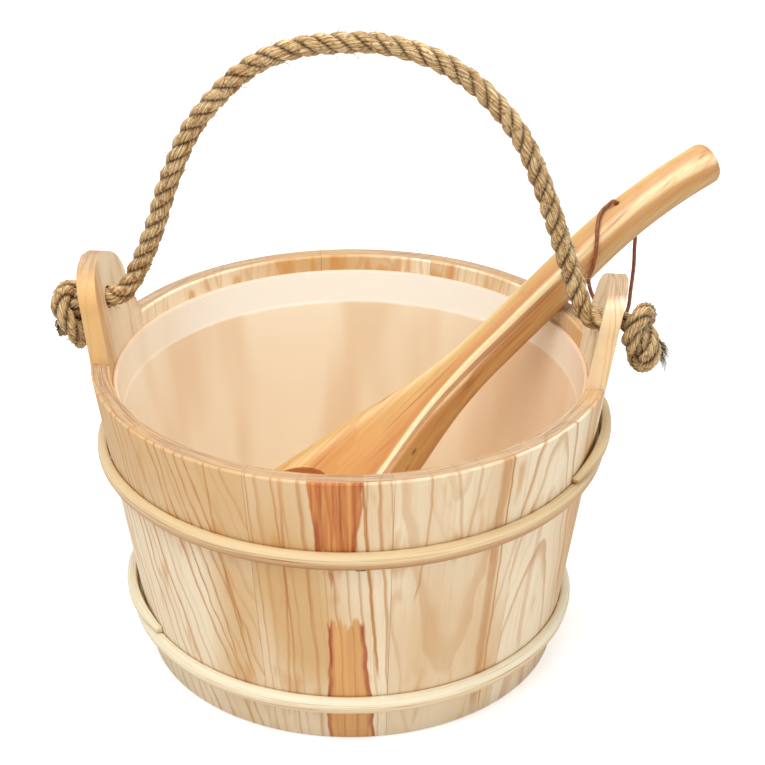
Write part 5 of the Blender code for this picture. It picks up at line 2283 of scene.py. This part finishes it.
        # Rings close together at the handle's rounded end, even along the handle and the flare, and
        # closer again round the bowl
        tip = (0.0, 0.03, 0.08, 0.15, 0.26, 0.40, 0.55, 0.75, 1.0, 1.6)
        handle = (3.2 * self.end_ease - self.length, 1.05 * neck)
        flare = (0.97 * neck, self.bowl_centre - 0.03 * self.flare)
        turns = (0, 7, 14, 21, 28, 35, 41, 47, 53, 59, 64, 69, 73, 77, 80, 83, 85.5, 87.5)
        marks = [*(self.end_ease * x - self.length for x in tip),
                 *np.linspace(*handle, self.handle_rings), *np.linspace(*flare, self.flare_rings),
                 *(self.bowl_centre + self.bowl_radius * sin(radians(d)) for d in turns)]
        rows = self.rows()
        wood = loft("ladle_wood", [self.ring(float(a), rows) for a in marks])
        places = [(float(a), 360.0 * i / self.sides) for a in marks for i in range(self.sides)]
        for label, middle in (("ridge", self.ridge_angle), ("trough", self.trough_angle),
                              ("lower", self.lower_angle)):
            write_points(wood, **{label: [self.ridge(a, angle, middle) for a, angle in places]})
        write_points(wood, turn_x=[cos(radians(angle)) for _, angle in places],
                     turn_y=[sin(radians(angle)) for _, angle in places],
                     toward_bowl=[held((a + self.tint_start) / self.tint_reach) for a, _ in places])
        return self.drilled(self.hollowed(wood))

    def hollowed(self, wood: Object) -> Object:
        """The ladle with its bowl scooped out, and the carved points marked.

        Args:
            wood: The ladle, which is used up.

        Returns:
            The hollowed ladle.
        """
        point, way, up = self.spine(self.bowl_centre)
        axes = [self.along * v.x + Vector((0.0, 0.0, v.y)) for v in (way, up)]
        turn = Matrix((axes[0], self.across, axes[1])).transposed().to_4x4()
        level = Matrix.Translation(self.place(point + up * self.radius)) @ turn
        wide = self.bowl_radius - self.bowl_lip
        deep = self.bowl_depth - self.bowl_floor
        scoop = primitive("scoop", level @ Matrix.Diagonal((wide, wide, deep, 1.0)),
                          bmesh.ops.create_icosphere, subdivisions=5, radius=1.0)
        wood = cut(wood, scoop, "ladle_wood")
        inside = []
        for vertex in wood.data.vertices:
            x, y, z = level.inverted() @ vertex.co
            off = sqrt((x / wide) ** 2 + (y / wide) ** 2 + (z / deep) ** 2) - 1.0
            inside.append(1.0 if z < -self.scooped_below and abs(off) < self.scooped_near else 0.0)
        write_points(wood, hollow=inside)
        return wood

    def drilled(self, wood: Object) -> Object:
        """The ladle with its thong hole.

        Args:
            wood: The ladle, which is used up.

        Returns:
            The drilled ladle.
        """
        point, _, up = self.spine(-self.thong_distance)
        turn = (self.along * up.x + Vector((0.0, 0.0, up.y))).to_track_quat("Z", "Y").to_matrix().to_4x4()
        place = Matrix.Translation(self.place(point)) @ turn
        return cut(wood, rod(place, self.thong_hole / 2.0, 3.0 * self.depth, 28), "ladle_wood")

    def handle_point(self, a: float, angle: float, reach: float) -> Vector:
        """Point beside the spine at a: angle 0 is on top, 90 on the side towards the front.

        Args:
            a: Place along the spine.
            angle: Angle round the handle in degrees.
            reach: Distance from the spine.

        Returns:
            The point.
        """
        point, _, up = self.spine(a)
        turn = radians(angle)
        return self.place(point + up * cos(turn) * reach, -sin(turn) * reach)

    def thong_path(self) -> np.ndarray:
        """Route of the thong, up from its hole, over the handle's front, down outside the rim and back.

        Returns:
            The route in metres.
        """
        at = -self.thong_distance
        size = self.radius
        lie = self.radius + self.thong_diameter / 2.0 + self.thong_clearance
        hand = [self.handle_point(at, 0.0, share * size) for share in (-0.10, 0.34, 0.89)]
        hand.append(self.handle_point(at + 0.05 * size, 0.0, 1.03 * lie))
        # Listed points: shares of the handle's radius along it, and degrees round it
        for share, angle in ((0.305, -3.0), (0.593, -3.0), (0.958, 6.0), (1.424, 28.0), (1.839, 50.0),
                             (2.237, 69.0), (2.542, 82.0), (2.839, 95.0)):
            hand.append(self.handle_point(at + share * size, angle, lie))
        # Listed points of the hanging loop, in handle radii from the hole: along, across and up
        hole = self.handle_point(at, 0.0, 0.0)
        for run, side, height in ((-2.458, -1.169, -2.161), (-2.331, -1.186, -2.797),
                                  (-1.822, -1.034, -3.729), (-0.975, -0.636, -4.746),
                                  (-0.085, -0.186, -5.254), (0.508, 0.085, -4.873), (0.661, 0.169, -3.890),
                                  (0.746, 0.169, -2.686), (0.678, 0.085, -1.695)):
            hand.append(hole + (self.along * run + self.across * side + Vector((0.0, 0.0, height))) * size)
        hand.append(self.handle_point(at, 0.0, -1.03 * lie))
        hand += [self.handle_point(at, 0.0, share * size) for share in (-0.89, -0.40)]
        return smooth_path([tuple(p) for p in hand], 240)

    def make_thong(self) -> None:
        """Makes and dresses the leather thong."""
        path = self.thong_path()
        half = self.thong_diameter / 2.0

        def section(run: float, angle: float) -> float:
            """Radius of the lace, a little uneven."""
            return half * (1.0 + self.thong_uneven * sin(run * self.thong_waves + angle))

        thong = sweep("thong_lace", path, section, 14)
        smooth(thong, 60.0)
        dress(thong, LeatherFinish().make("dark_leather"))
        seat(thong, "ladle", "leather", "ladle_thong")
        length = float(distances(path)[-1])
        LOG.info("thong %.1f mm long", length * 1000.0)

    def make(self) -> None:
        """Makes and dresses the ladle."""
        wood = self.body()
        soften(wood, self.edge_ease, 38.0)
        wood = bake(wood, "ladle_wood")
        smooth(wood, 50.0)
        dress(wood, LadleWood().make("honey_wood", radians(self.yaw), self.slope, self.origin))
        seat(wood, "ladle", "ladle_wood", "ladle")


# Trim


@dataclass
class Trim:
    """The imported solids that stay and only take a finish: the bottom board and the two staples."""

    board: Board = Board(Log(0.03, 0.02, 0.0, 0.0045, 0.004, 51.0), 0.9)
    staples: tuple[str, str] = ("staple_upper", "staple_lower")

    def make(self, nodes: dict) -> None:
        """Dresses the board and the staples.

        Args:
            nodes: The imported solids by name.
        """
        dress(nodes["bottom_board"], PineFinish().make("board_pine", 90.0, self.board))
        steel = SteelFinish().make("staple_wire")
        for name in self.staples:
            dress(nodes[name], steel)


def main() -> None:
    """Builds the whole portrait."""
    logging.basicConfig(level=logging.INFO, format="%(name)s: %(message)s")
    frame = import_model()
    bpy.context.scene.view_settings.view_transform = "Standard"
    Portrait().make()
    RopeBail().make()
    ladle = Ladle()
    ladle.make_thong()
    Studio().make()
    Staves().make()
    Liner().make()
    pale_cane = CaneFinish(straw=paint(242, 226, 186), pale=paint(250, 241, 214), amber=paint(220, 178, 124))
    Hoop("upper_hoop", centre_z=TUB.rim_z - 0.0468, tip=-24.0, turn=1.0, seed=3.0, warmth=0.80).make()
    Hoop("lower_hoop", centre_z=TUB.foot_z + 0.0250, tip=216.5, turn=-1.0, seed=17.0, warmth=0.0,
         finish=pale_cane).make()
    ladle.make()
    Trim().make(frame["nodes"])


if __name__ == "__main__":
    main()
